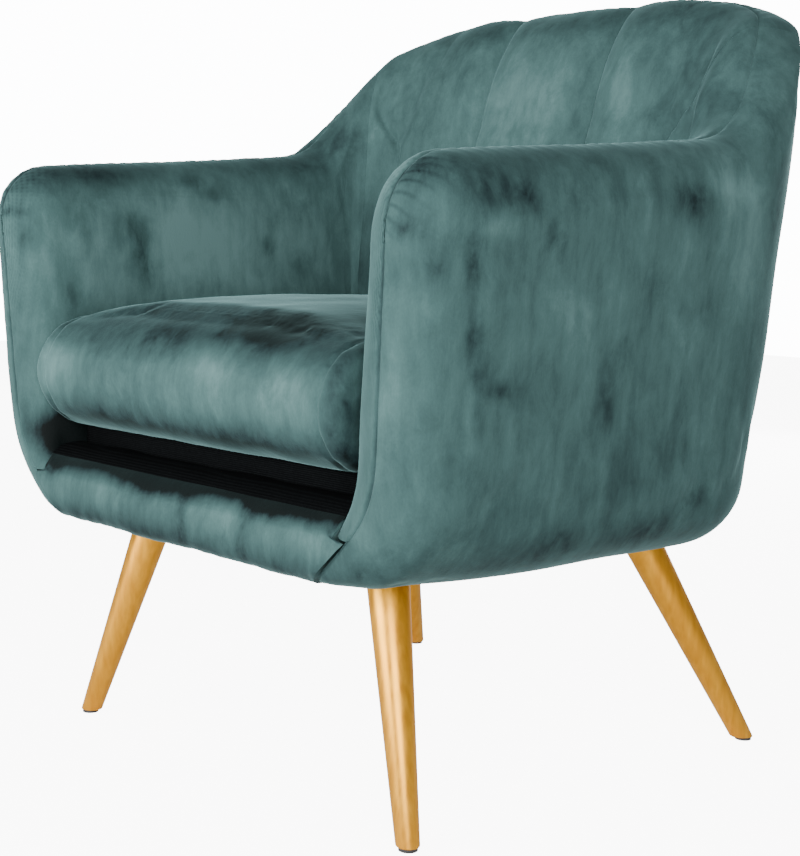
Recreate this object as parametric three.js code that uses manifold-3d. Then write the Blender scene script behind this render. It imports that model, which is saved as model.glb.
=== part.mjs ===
import * as THREE from 'three';
import { mergeVertices } from 'three/addons/utils/BufferGeometryUtils.js';
import Module from 'manifold-3d';

const wasm = await Module();
wasm.setup();

// Overall sizes of the chair, in millimetres. The front faces -Y and the floor is at zero.
const bodyBottom = 239;
const refHeight = 430;
const gap = 0.3;

// The upholstered wall that makes both arms and the back, measured on its middle surface
const wallHalfWidth = 296;
const wallHalf = 48;
const sideFlareShare = 0.078;
const backLeanShare = 0.17;
const backLowLeanShare = 0.1;
const frontRakeShare = 0.051;
const noseFrontY = -298.5;
const cornerStartY = 97;
const cornerDepth = 125;
const cornerPower = 3.9;
const lowerRadius = 94;
const lowerRadiusSide = 58;
const lowerRadiusRear = 64;
const noseTuckRadius = 16;
const noseDepth = 57;
const seamLowerRadius = 97;
const seamLowerHeight = 355;
const noseInnerRadius = 106;
const noseFootHeight = 286;
const armHeight = 641;
const armRiseShare = 0.083;
const armFrontRadius = 58;
const wingHeight = 775;
const backHeight = 810;
const archPower = 2.4;
const wingEndShare = 0.24;
const backPadThickness = 66;
const backRollHeight = 150;
const backTopRadius = 12;

// Wood of the frame
const plyHalf = 8;
const ribHalf = 6;
const recessHalf = plyHalf + gap;
const frameDrop = 34;
const railBottom = 247;
const railTop = 300;
const railThickness = 20;
const sideRailInnerX = 242;
const sideRailFootX = 267;
const sideRailChamferZ = 260;
const sideRailRearY = 118;
const frontRailFrontY = -262;
const rearRailInner = -10;
const frontRailHalf = 252;
const panelBottom = 264;
const panelFrontY = -241;
const panelCornerRadius = 40;
const blockSide = 112;
const blockCut = 76;
const rearBlockCorner = 226;
const blockHeight = 30;
const topRailHeight = 64;
const lowerRailBottom = 420;
const lowerRailHeight = 56;

// Seat suspension and deck
const strapWidth = 50;
const strapThickness = 1.9;
const strapLift = 1.4;
const webHeight = 303.6;
const strapOverlap = 15;
const strapSpacing = 100;
const strapLevelHalf = 27;
const strapShares = [-1.5, -0.5, 0.5, 1.5];
const seatMiddleY = -56;
const deckBottom = 306.6;
const deckTop = 335.7;
const deckFrontY = -239;
const deckHalf = 235;
const deckRear = [[235, 114], [205, 129], [100, 137], [0, 139]];

// Seat cushion
const cushionSideGap = 1.7;
const cushionFrontY = -299;
const cushionRearGap = 12.6;
const cushionBottom = 336;
const cushionTop = 450;
const cushionFlare = sideFlareShare * (cushionBottom - refHeight);
const cushionHalfWidth = wallHalfWidth - wallHalf + cushionFlare - cushionSideGap;
const cushionRearLean = backLowLeanShare * (cushionBottom - refHeight);
const cushionRearY = cornerStartY + cornerDepth - backPadThickness + cushionRearLean - cushionRearGap;
const cushionCrown = 17;
const cushionBelly = 1.4;
const cushionNoseRadius = 56;
const cushionEdgeRadius = 9;
const cushionCornerRadius = 26;
const cushionSpread = 6;
const cushionEdgeShare = 0.96;
const cushionShares = [-1, -0.985, -0.96, -0.9, -0.7, -0.35, 0, 0.35, 0.7, 0.9, 0.96, 0.985, 1];
const coverThickness = 2.4;
const zipHalfLength = 178;
const zipSlotHalfHeight = 9;
const zipThickness = 1.4;
const zipTeethHalfHeight = 3;
const zipTeethDepth = 1;
const sliderLength = 12;
const sliderHeight = 9;
const sliderDepth = 3.2;
const pullLength = 24;
const pullThickness = 1.4;

// Front rail padding
const railPadFrontY = -295;
const railPadHalf = 230;
const railPadTop = 314;
const railPadFrontRadius = 44;
const railPadLowerRadius = 14;
const railPadRearY = -242;

// Legs, their foot centres and where they meet the body
const footHalfWidth = 262;
const frontFootY = -216.5;
const rearSplay = 114;
const topHalfWidth = 184;
const frontTopY = -178.5;
const rearLegSetback = 6;
const legTopHeight = 243.7;
const legTopRadius = 21;
const legFootRadius = 11;
const legRound = 24;
const legNotchRadius = 28;
const glideHeight = 3;
const glideRadius = 9;
const boltRadius = 4;
const boltBore = 4.4;
const boltDepth = 32;

// Dust cover under the base
const dustHalfWidth = 240;
const dustFrontY = -234;
const dustRear = [[236, 122], [210, 150], [164, 171], [108, 181], [0, 187]];
const dustBottom = 245.4;
const dustHoleRadius = 25;
const dustThickness = 0.9;

// Sewn channels of the inside back
const channelSeamX = 80;
const channelEdgeX = 216;
const channelDepth = 9;
const channelHalf = 11;

// Back webbing
const backStrapSpacing = 119.5;
const backStrapWidth = 35;

// Colours and surfaces of the materials
const velvet = { color: 0x3d6262, roughness: 0.75, metalness: 0 };
const gold = { color: 0xd09a48, roughness: 0.36, metalness: 0.25 };
const timber = { color: 0xc9a878, roughness: 0.8, metalness: 0 };
const steel = { color: 0x9a9ea3, roughness: 0.4, metalness: 0.9 };
const webbing = { color: 0x2c2a28, roughness: 0.85, metalness: 0 };
const foam = { color: 0xe9dfb8, roughness: 0.95, metalness: 0 };
const felt = { color: 0x3a3a3c, roughness: 0.95, metalness: 0 };
const lining = { color: 0x17181a, roughness: 0.95, metalness: 0 };
const zipper = { color: 0x27403f, roughness: 0.6, metalness: 0.2 };

const chair = new THREE.Group();

// One named piece with its own material
function addPiece(name, geometry, look) {
  const material = new THREE.MeshStandardMaterial(look);
  const mesh = new THREE.Mesh(geometry, material);
  mesh.name = name;
  chair.add(mesh);
  return mesh;
}

// Closed geometry to a solid and back
function toSolid(geometry) {
  const bare = geometry.clone();
  bare.deleteAttribute('normal');
  bare.deleteAttribute('uv');
  const merged = mergeVertices(bare);
  const vertProperties = Float32Array.from(merged.attributes.position.array);
  const triVerts = Uint32Array.from(merged.index.array);
  return new wasm.Manifold(new wasm.Mesh({ numProp: 3, vertProperties, triVerts }));
}

function toGeometry(solid) {
  const mesh = solid.getMesh();
  const geometry = new THREE.BufferGeometry();
  geometry.setAttribute('position', new THREE.Float32BufferAttribute(mesh.vertProperties, 3));
  geometry.setIndex(new THREE.Uint32BufferAttribute(mesh.triVerts, 1));
  geometry.computeVertexNormals();
  return geometry;
}

// Six times the signed volume of a triangle list
function signedVolume(points, faces) {
  let sum = 0;
  for (const [a, b, c] of faces) {
    sum += points[a].dot(new THREE.Vector3().crossVectors(points[b], points[c]));
  }
  return sum;
}

// Whether a flat triangle holds a point, its edges included
function holds(corners, point) {
  return corners.every((corner, i) => {
    return THREE.ShapeUtils.area([corner, corners[(i + 1) % corners.length], point]) >= 0;
  });
}

// Triangles of a flat outline, cut off ear by ear with the best shaped one first
function capFaces(flat, start, withOrder) {
  const forward = THREE.ShapeUtils.area(flat) > 0;
  let left = flat.map((point, i) => i);
  if (!forward) {
    left.reverse();
  }
  const faces = [];
  while (left.length > 2) {
    const ears = left.map((middle, k) => {
      const face = [left[(k + left.length - 1) % left.length], middle, left[(k + 1) % left.length]];
      const corners = face.map((i) => flat[i]);
      const longest = Math.max(...corners.map((c, i) => c.distanceTo(corners[(i + 1) % corners.length])));
      const shape = THREE.ShapeUtils.area(corners) / longest ** 2;
      const clear = left.every((i) => face.includes(i) || !holds(corners, flat[i]));
      return { face, middle, shape: clear ? shape : -1 };
    });
    const best = ears.reduce((a, b) => (b.shape > a.shape ? b : a));
    faces.push(best.face);
    left = left.filter((i) => i !== best.middle);
  }
  const same = forward === withOrder;
  return faces.map((face) => {
    const moved = face.map((i) => i + start);
    return same ? moved : moved.reverse();
  });
}

// Closed body through a row of rings with equal point counts, closed at its ends by the rings laid flat
function loft(rings, flats) {
  const count = rings[0].length;
  const points = rings.flat();
  const faces = [];
  for (let i = 0; i < rings.length - 1; i += 1) {
    for (let j = 0; j < count; j += 1) {
      const a = i * count + j;
      const b = i * count + ((j + 1) % count);
      faces.push([a, b, b + count]);
      faces.push([a, b + count, a + count]);
    }
  }
  const last = (rings.length - 1) * count;
  faces.push(...capFaces(flats[0], 0, false));
  faces.push(...capFaces(flats[flats.length - 1], last, true));
  return closedGeometry(points, faces);
}

// Indexed geometry with its faces pointing out
function closedGeometry(points, faces) {
  const outward = signedVolume(points, faces) > 0;
  const index = faces.flatMap(([a, b, c]) => (outward ? [a, b, c] : [a, c, b]));
  const geometry = new THREE.BufferGeometry();
  const position = points.flatMap((p) => [p.x, p.y, p.z]);
  geometry.setAttribute('position', new THREE.Float32BufferAttribute(position, 3));
  geometry.setIndex(index);
  geometry.computeVertexNormals();
  return geometry;
}

function mirrored(geometry) {
  const copy = geometry.clone();
  copy.scale(-1, 1, 1);
  const index = Array.from(copy.index.array);
  for (let i = 0; i < index.length; i += 3) {
    [index[i + 1], index[i + 2]] = [index[i + 2], index[i + 1]];
  }
  copy.setIndex(index);
  copy.computeVertexNormals();
  return copy;
}

function mix(a, b, share) {
  return a + (b - a) * share;
}

function ease(value) {
  const t = Math.min(Math.max(value, 0), 1);
  return t * t * (3 - 2 * t);
}

// How far a rounded lower edge has drawn in at a height
function drawnIn(z, radius, startHeight) {
  const drop = Math.min(Math.max(startHeight - z, 0), radius);
  return radius - Math.sqrt(radius * radius - drop * drop);
}

// A station of the wall on the sitter's left half. On the arm it is placed by its y, and fullness tells how
// much of the wall's thickness the bull nose has reached there.
function armStation(y, fullness, lean) {
  const along = (y - noseFrontY) / (cornerStartY - noseFrontY);
  const drop = Math.min(Math.max(armFrontRadius - (y - noseFrontY), 0), armFrontRadius);
  const rounded = armFrontRadius - Math.sqrt(armFrontRadius * armFrontRadius - drop * drop);
  return {
    x: wallHalfWidth,
    y,
    nx: 1,
    ny: 0,
    flare: sideFlareShare,
    lowFlare: sideFlareShare,
    rake: frontRakeShare * (1 - along),
    fullness,
    lean,
    crest: armHeight + armRiseShare * (y - cornerStartY) - rounded,
    lowerRadius: mix(lowerRadius, lowerRadiusSide, ease(along * 2)),
    outerRoll: wallHalf,
    innerPad: wallHalf,
    innerRoll: wallHalf,
    groove: 0,
    tuck: Math.max(1 - (y - noseFrontY) / noseDepth, 0),
  };
}

// Height of the wall's crest against the turn of the corner, from the arm up the wing to the arched back
function crestAt(turn) {
  const wingEnd = Math.PI * wingEndShare;
  if (turn < wingEnd) {
    return mix(armHeight, wingHeight, turn / wingEnd);
  }
  const t = (Math.PI / 2 - turn) / (Math.PI / 2 - wingEnd);
  return backHeight - (backHeight - wingHeight) * t ** archPower;
}

// A station of the corner and the back, from no turn at the arm to a quarter turn at the middle of the back
function cornerStation(turn) {
  const power = 2 / cornerPower;
  const c = Math.max(Math.cos(turn), 0) ** power;
  const s = Math.sin(turn) ** power;
  const x = wallHalfWidth * c;
  const nx = c ** (cornerPower - 1) / wallHalfWidth;
  const ny = s ** (cornerPower - 1) / cornerDepth;
  const length = Math.hypot(nx, ny);
  const back = ease((turn / Math.PI - 0.12) / 0.2);
  const fromSeam = Math.min(Math.abs(x - channelSeamX), Math.abs(x - channelEdgeX));
  return {
    x,
    y: cornerStartY + cornerDepth * s,
    nx: nx / length,
    ny: ny / length,
    flare: mix(sideFlareShare, backLeanShare, back),
    lowFlare: mix(sideFlareShare, backLowLeanShare, ease(turn / Math.PI / 0.14)),
    rake: 0,
    fullness: 1,
    lean: 0,
    crest: crestAt(turn),
    lowerRadius: mix(lowerRadiusSide, lowerRadiusRear, ease(turn / Math.PI / 0.2)),
    outerRoll: mix(wallHalf, backTopRadius, ease((turn / Math.PI - 0.08) / 0.12)),
    innerPad: mix(wallHalf, backPadThickness, back),
    innerRoll: mix(wallHalf, backRollHeight, back),
    tuck: 0,
    groove: channelDepth * Math.max(1 - fromSeam / channelHalf, 0),
  };
}

function mirroredStation(station) {
  return { ...station, x: -station.x, nx: -station.nx };
}

// Point of the wall at an offset u from its middle surface and a height
function wallPoint(station, u, z) {
  const flare = z < refHeight ? station.lowFlare : station.flare;
  const out = u + flare * (z - refHeight);
  const x = station.x + station.nx * out;
  const tuck = drawnIn(z, noseTuckRadius, bodyBottom + noseTuckRadius) * station.tuck;
  const y = station.y + station.ny * out - station.rake * (z - refHeight) + tuck;
  return new THREE.Vector3(x, y, z);
}

// Station between two others
function mixedStation(a, b, share) {
  return Object.fromEntries(Object.keys(a).map((key) => [key, mix(a[key], b[key], share)]));
}

function wallLoft(stations, outline) {
  const flats = stations.map((station) => outline(station));
  const rings = stations.map((station, i) => flats[i].map((p) => wallPoint(station, p.x, p.y)));
  return loft(rings, flats);
}

// The seam on the bull nose runs in towards the front rail at its lower end
function seamLean(z, radius) {
  const drop = Math.max(seamLowerHeight - z, 0);
  const straightFrom = radius * Math.SQRT1_2;
  if (drop < straightFrom) {
    return radius - Math.sqrt(radius * radius - drop * drop);
  }
  return radius - straightFrom + drop - straightFrom;
}

const seamSteps = [0, 0.5, 1].map((share) => mix(noseFootHeight, seamLowerHeight, share));

// Outer face of the wall against height, with its rounded lower edge
function outerFace(station, z) {
  const full = wallHalf - drawnIn(z, station.lowerRadius, bodyBottom + station.lowerRadius);
  const seam = -seamLean(z, seamLowerRadius) * station.lean;
  return mix(seam, full, station.fullness);
}

// Stations of the bull nose, the straight arm, the corner and the back
const noseTurns = [0.09, 0.22, 0.36, 0.5].map((share) => share * Math.PI);
const noseStations = noseTurns.map((turn, i) => {
  const y = noseFrontY + noseDepth * (1 - Math.cos(turn));
  return armStation(y, Math.min(Math.sin(turn), 1), i < 2 ? 1 : 0);
});
const armShares = [0.34, 0.68, 1];
const armStations = armShares.map((share) => {
  return armStation(mix(noseFrontY + noseDepth, cornerStartY, share), 1, 0);
});
const wingShares = [0.03, 0.06, 0.1, 0.14, 0.18, 0.22];
const turnAt = (x) => Math.acos((x / wallHalfWidth) ** (cornerPower / 2)) / Math.PI;
const seamStepShares = [channelEdgeX, channelSeamX].map((x) => {
  return [turnAt(x + channelHalf), turnAt(x), turnAt(x - channelHalf)];
});
const midTurn = turnAt((channelEdgeX + channelSeamX) / 2);
const nearSeamShares = [...seamStepShares[0], midTurn, ...seamStepShares[1], turnAt(channelSeamX / 2)];
const backShares = [0.2208, ...nearSeamShares, 0.5];
const wingStations = wingShares.map((share) => cornerStation(share * Math.PI));
const halfBackStations = backShares.map((share) => cornerStation(share * Math.PI));
const farBackStations = halfBackStations.slice(0, -1).reverse().map(mirroredStation);
const backStations = [...halfBackStations, ...farBackStations];
const sideStations = [...noseStations, ...armStations, ...wingStations];
const roundSteps = [0, 0.25, 0.5, 0.75, 1].map((share) => share * Math.PI / 2);

// Outside padding: over the crest from the seam, down the outer face and in under the body
function outsideOutline(station) {
  const recess = recessHalf * station.fullness;
  const flat = [];
  for (const angle of roundSteps) {
    const u = mix(gap / 2, wallHalf * station.fullness, Math.sin(angle));
    flat.push(new THREE.Vector2(u, station.crest - station.outerRoll * (1 - Math.cos(angle))));
  }
  const lowTop = bodyBottom + station.lowerRadius;
  flat.push(new THREE.Vector2(wallHalf * station.fullness, refHeight));
  for (const share of [0, 0.35, 0.6, 0.8, 0.93, 1]) {
    const z = lowTop - station.lowerRadius * share;
    flat.push(new THREE.Vector2(outerFace(station, z), z));
  }
  const hem = railBottom - gap * 4;
  const skin = hem - bodyBottom;
  const hemReach = wallHalf - station.lowerRadius + gap * 5;
  const inner = mix(hemReach, -seamLean(hem, seamLowerRadius) + gap, station.lean);
  flat.push(new THREE.Vector2(Math.min(inner, outerFace(station, bodyBottom) - gap), hem));
  for (const z of [bodyBottom + skin * 1.1, bodyBottom + skin * 2.2, panelBottom - gap, ...seamSteps]) {
    const seam = recess - seamLean(z, seamLowerRadius) * station.lean;
    const limit = Math.min(outerFace(station, z) - skin * station.fullness, seam);
    flat.push(new THREE.Vector2(limit, z));
  }
  flat.push(new THREE.Vector2(recess, refHeight));
  flat.push(new THREE.Vector2(recess, station.crest - frameDrop + gap));
  flat.push(new THREE.Vector2(gap / 2, station.crest - frameDrop * 0.7));
  return flat;
}

// Inner face of the wall against height, rolled over at the top
function insideFace(station, z) {
  const t = Math.min(Math.max((station.crest - z) / station.innerRoll, 0), 1);
  const roll = Math.sqrt(1 - (1 - t) ** 2);
  const lean = seamLean(z, noseInnerRadius) * station.lean;
  return -station.innerPad * station.fullness * roll - lean + station.groove * Math.min(t * 2, 1);
}

// Inside padding: from the seam over the crest, down the inner face and to the side rail
function insideOutline(station) {
  const recess = recessHalf * station.fullness;
  const foot = mix(railTop + strapThickness + gap * 3, noseFootHeight, station.lean);
  const flat = [];
  for (const angle of roundSteps) {
    const z = station.crest - station.innerRoll * (1 - Math.cos(angle));
    flat.push(new THREE.Vector2(insideFace(station, z) - gap / 2, z));
  }
  const low = station.crest - station.innerRoll;
  const levels = [0.5, 0.75, 1].map((share) => mix(refHeight, foot, share));
  for (const z of [mix(low, refHeight, 0.5), refHeight, ...levels]) {
    flat.push(new THREE.Vector2(insideFace(station, z) - gap / 2, z));
  }
  for (const z of [foot, ...seamSteps.slice(1)]) {
    const seam = seamLean(z, seamLowerRadius) * station.lean;
    flat.push(new THREE.Vector2(-recess - seam, z));
  }
  flat.push(new THREE.Vector2(-recess, refHeight));
  flat.push(new THREE.Vector2(-recess, station.crest - frameDrop + gap));
  flat.push(new THREE.Vector2(-gap / 2, station.crest - frameDrop * 0.7));
  return flat;
}

// The same piece for the sitter's left side, +X, and its mirror image for the right
function addPair(name, geometry, look) {
  addPiece(`${name}_left`, geometry, look);
  addPiece(`${name}_right`, mirrored(geometry), look);
}

function buildUpholstery() {
  addPair('arm_outside_pad', wallLoft(sideStations, outsideOutline), velvet);
  addPair('arm_inside_pad', wallLoft(sideStations, insideOutline), velvet);
  let backPad = toSolid(wallLoft(backStations, outsideOutline));
  for (const side of [-1, 1]) {
    const notch = new THREE.CylinderGeometry(legNotchRadius, legNotchRadius, legTopRadius, legRound);
    notch.rotateX(Math.PI / 2);
    notch.translate(topHalfWidth * side, rearTopY, railBottom - legTopRadius / 2);
    backPad = backPad.subtract(toSolid(notch));
  }
  addPiece('back_outside_pad', toGeometry(backPad), velvet);
  addPiece('back_inside_pad', wallLoft(backStations, insideOutline), velvet);
}

// Padding over the front rail, its ends cut along the seam of the noses
function buildFrontRailPad() {
  const outline = [];
  const hem = railBottom - gap * 4;
  outline.push(new THREE.Vector2(railPadRearY, bodyBottom));
  for (const angle of [0, 0.5, 1].map((share) => share * Math.PI / 2)) {
    const y = railPadFrontY + railPadLowerRadius * (1 - Math.sin(angle));
    outline.push(new THREE.Vector2(y, bodyBottom + railPadLowerRadius * (1 - Math.cos(angle))));
  }
  for (const angle of [0, 0.25, 0.5, 0.75, 1].map((share) => share * Math.PI / 2)) {
    const y = railPadFrontY + railPadFrontRadius * (1 - Math.cos(angle));
    outline.push(new THREE.Vector2(y, railPadTop - railPadFrontRadius * (1 - Math.sin(angle))));
  }
  const shelf = railTop + strapThickness + gap * 3;
  outline.push(new THREE.Vector2(railPadRearY, railPadTop));
  outline.push(new THREE.Vector2(railPadRearY, shelf));
  outline.push(new THREE.Vector2(frontRailFrontY - gap, shelf));
  outline.push(new THREE.Vector2(frontRailFrontY - gap, hem));
  outline.push(new THREE.Vector2(railPadRearY, hem));
  const endX = (z) => {
    const middle = wallHalfWidth - sideFlareShare * (refHeight - z);
    const seam = middle - gap * 3 - seamLean(z, seamLowerRadius);
    return Math.min(railPadHalf, z < noseFootHeight ? seam : railPadHalf);
  };
  const rings = [-1, -0.5, 0.5, 1].map((share) => {
    return outline.map((p) => new THREE.Vector3(share * endX(p.y), p.x, p.y));
  });
  addPiece('front_rail_pad', loft(rings, rings.map(() => outline)), velvet);
}

function box(sizeX, sizeY, sizeZ, x, y, z) {
  const geometry = new THREE.BoxGeometry(sizeX, sizeY, sizeZ);
  geometry.translate(x, y, z);
  return geometry;
}

// Box from its lowest to its highest corner
function boxBetween(low, high) {
  const middle = low.map((value, i) => (value + high[i]) / 2);
  return box(high[0] - low[0], high[1] - low[1], high[2] - low[2], ...middle);
}

// Upright prism of a plan outline
function prism(outline, bottom, height) {
  const upright = { depth: height, bevelEnabled: false };
  const geometry = new THREE.ExtrudeGeometry(new THREE.Shape(outline), upright);
  geometry.translate(0, 0, bottom);
  return geometry;
}

// Wooden base under the seat
function buildBase() {
  const frontRear = frontRailFrontY + railThickness;
  const frontLow = [-frontRailHalf, frontRailFrontY, railBottom];
  addPiece('base_front_rail', boxBetween(frontLow, [frontRailHalf, frontRear, railTop]), timber);
  addPiece('base_rear_rail', rib(rearRibStations, () => railBottom, () => railTop, rearRailInner), timber);
  const faceX = (z) => wallHalfWidth - sideFlareShare * (refHeight - z) - recessHalf;
  const section = [
    new THREE.Vector2(sideRailInnerX, railBottom),
    new THREE.Vector2(sideRailFootX, railBottom),
    new THREE.Vector2(faceX(sideRailChamferZ), sideRailChamferZ),
    new THREE.Vector2(faceX(railTop), railTop),
    new THREE.Vector2(sideRailInnerX, railTop),
  ];
  const ends = [frontRear + gap, sideRailRearY];
  const rings = ends.map((y) => section.map((p) => new THREE.Vector3(p.x, y, p.y)));
  addPair('base_side_rail', loft(rings, [section, section]), timber);
}

// Corner blocks between the rails, each drilled for the bolt of its leg
function blockOutline(rear) {
  const x = sideRailInnerX - gap;
  if (rear) {
    const corners = [x - blockSide, mix(x - blockSide, rearBlockCorner, 0.5), rearBlockCorner];
    const edge = corners.map((cornerX) => strapPoint(cornerX, rearRailInner - gap * 2, railBottom));
    const outline = edge.map((point) => new THREE.Vector2(point.x, point.y));
    const near = outline[0].y;
    outline.push(new THREE.Vector2(x, outline[2].y - (x - rearBlockCorner)));
    outline.push(new THREE.Vector2(x, near - blockSide));
    outline.push(new THREE.Vector2(x - blockCut, near - blockSide));
    outline.push(new THREE.Vector2(x - blockSide, near - blockCut));
    return outline;
  }
  const front = frontRailFrontY + railThickness + gap;
  return [
    new THREE.Vector2(x - blockSide, front),
    new THREE.Vector2(x - blockSide, front + blockCut),
    new THREE.Vector2(x - blockCut, front + blockSide),
    new THREE.Vector2(x, front + blockSide),
    new THREE.Vector2(x, front),
  ];
}

// The axis of a leg from its foot to where it meets the body
function legAxis(rear) {
  const foot = new THREE.Vector3(footHalfWidth, rear ? rearTopY + rearSplay : frontFootY, 0);
  const top = new THREE.Vector3(topHalfWidth, rear ? rearTopY : frontTopY, legTopHeight);
  return { foot, top, way: top.clone().sub(foot).normalize() };
}

// Round bar along the leg's axis between two distances from the top of the leg
function axisBar(axis, radius, from, to, sides) {
  const geometry = new THREE.CylinderGeometry(radius, radius, to - from, sides);
  geometry.translate(0, (from + to) / 2, 0);
  geometry.applyQuaternion(new THREE.Quaternion().setFromUnitVectors(new THREE.Vector3(0, 1, 0), axis.way));
  geometry.translate(axis.top.x, axis.top.y, axis.top.z);
  return geometry;
}

// Keeps what lies between two heights
function between(solid, low, high) {
  const reach = backHeight;
  const slab = toSolid(boxBetween([-reach, -reach, low], [reach, reach, high]));
  return solid.intersect(slab);
}

function turnedLeg(axis) {
  const length = axis.top.distanceTo(axis.foot);
  const over = legTopRadius;
  const slope = (legTopRadius - legFootRadius) / length;
  const profile = [
    new THREE.Vector2(0, -over),
    new THREE.Vector2(legFootRadius - slope * over, -over),
    new THREE.Vector2(legTopRadius + slope * over, length + over),
    new THREE.Vector2(0, length + over),
  ];
  const geometry = new THREE.LatheGeometry(profile, legRound);
  geometry.applyQuaternion(new THREE.Quaternion().setFromUnitVectors(new THREE.Vector3(0, 1, 0), axis.way));
  geometry.translate(axis.foot.x, axis.foot.y, axis.foot.z);
  return geometry;
}

function buildCorner(name, rear) {
  const axis = legAxis(rear);
  const bore = toSolid(axisBar(axis, boltBore, -boltDepth - gap, blockHeight * 2, 12));
  const leg = between(toSolid(turnedLeg(axis)), glideHeight + gap, legTopHeight).subtract(bore);
  addPair(`leg_${name}`, toGeometry(leg), gold);

  const glide = new THREE.CylinderGeometry(glideRadius, glideRadius, glideHeight, 16);
  glide.rotateX(Math.PI / 2);
  glide.translate(axis.foot.x, axis.foot.y, glideHeight / 2);
  addPair(`glide_${name}`, glide, felt);

  const block = toSolid(prism(blockOutline(rear), railBottom, blockHeight)).subtract(bore);
  addPair(`corner_block_${name}`, toGeometry(block), timber);

  const plateBottom = legTopHeight + gap;
  const plateHeight = railBottom - gap - plateBottom;
  const disc = new THREE.CylinderGeometry(legTopRadius, legTopRadius, plateHeight, legRound);
  disc.rotateX(Math.PI / 2);
  disc.translate(axis.top.x, axis.top.y, plateBottom + plateHeight / 2);
  addPair(`leg_plate_${name}`, toGeometry(toSolid(disc).subtract(bore)), steel);
  addPair(`leg_bolt_${name}`, axisBar(axis, boltRadius, -boltDepth, blockHeight, 10), steel);
}

// Arm panel in the middle of the wall, standing beside the side rail
function buildArmPanels() {
  const start = armStation(panelFrontY, 1, 0);
  const end = armStation(cornerStartY, 1, 0);
  const outline = [[start, panelBottom], [end, panelBottom]];
  outline.push([end, end.crest - frameDrop]);
  for (const share of [1, 0.6, 0.25, 0]) {
    const y = panelFrontY + panelCornerRadius * share;
    const station = armStation(y, 1, 0);
    const rounded = panelCornerRadius * (1 - Math.sqrt(1 - (1 - share) ** 2));
    outline.push([station, station.crest - frameDrop - rounded]);
  }
  const flat = outline.map(([station, z]) => new THREE.Vector2(station.y, z));
  const rings = [-plyHalf, plyHalf].map((u) => outline.map(([station, z]) => wallPoint(station, u, z)));
  addPair('arm_panel', loft(rings, [flat, flat]), timber);
}

// Wooden rib in the wall between two heights told from its station
function rib(stations, lowOf, highOf, inner = -ribHalf) {
  return wallLoft(stations, (station) => {
    const low = lowOf(station);
    const high = highOf(station);
    const middle = low < refHeight && high > refHeight ? refHeight : mix(low, high, 0.5);
    const steps = [low, middle, high];
    const inside = steps.map((z) => new THREE.Vector2(inner, z));
    const outside = steps.map((z) => new THREE.Vector2(ribHalf, z)).reverse();
    return [...inside, ...outside];
  });
}

// Stations of the posts behind the arm panels and of the curved rails between them
const postStart = mixedStation(armStations[armStations.length - 1], wingStations[0], 0.02);
const postStations = [postStart, ...wingStations.slice(0, 4)];
const rearRibStart = mixedStation(wingStations[3], wingStations[4], 0.09);
const nearRibStations = [rearRibStart, ...wingStations.slice(4), ...halfBackStations.slice(1)];
const farRibStations = nearRibStations.slice(0, -1).reverse().map(mirroredStation);
const rearRibStations = [...nearRibStations, ...farRibStations];

function buildBackFrame() {
  const frameTop = (station) => station.crest - frameDrop;
  addPair('back_post', rib(postStations, () => panelBottom, frameTop), timber);
  const topRailLow = (station) => frameTop(station) - topRailHeight;
  addPiece('back_top_rail', rib(rearRibStations, topRailLow, frameTop), timber);
  const lowerRailTop = lowerRailBottom + lowerRailHeight;
  addPiece('back_lower_rail', rib(rearRibStations, () => lowerRailBottom, () => lowerRailTop), timber);
}

// Point of the back's wall above a given x, following the straight run between its stations
function strapPoint(x, u, z) {
  const points = rearRibStations.map((station) => wallPoint(station, u, z));
  for (let i = 0; i < points.length - 1; i += 1) {
    const [a, b] = [points[i], points[i + 1]];
    if (x <= a.x && x >= b.x) {
      return a.clone().lerp(b, (a.x - x) / (a.x - b.x));
    }
  }
  return points[0];
}

// The rear legs stand in front of the rear rail
const rearTopY = strapPoint(topHalfWidth, rearRailInner, railBottom).y - rearLegSetback;

const squareFlat = [[-1, -1], [1, -1], [1, 1], [-1, 1]].map(([a, b]) => new THREE.Vector2(a, b));

// Upright straps on the inner face of the back's rails
function buildBackWebbing() {
  ['left', 'middle', 'right'].forEach((name, i) => {
    const centre = backStrapSpacing * (1 - i);
    const levels = [lowerRailBottom + gap, refHeight, backHeight - frameDrop - topRailHeight / 2];
    const rings = levels.map((z) => squareFlat.map((p) => {
      const u = p.y > 0 ? -ribHalf - gap : -plyHalf;
      return strapPoint(centre + p.x * backStrapWidth / 2, u, z);
    }));
    addPiece(`back_webbing_${name}`, loft(rings, rings.map(() => squareFlat)), webbing);
  });
}

// Flat strap through points of its centre line, across the given way
function strap(centres, across) {
  const rings = centres.map((centre) => squareFlat.map((p) => {
    const side = across.clone().multiplyScalar(p.x * strapWidth / 2);
    return centre.clone().add(side).add(new THREE.Vector3(0, 0, p.y * strapThickness / 2));
  }));
  return loft(rings, rings.map(() => squareFlat));
}

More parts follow.
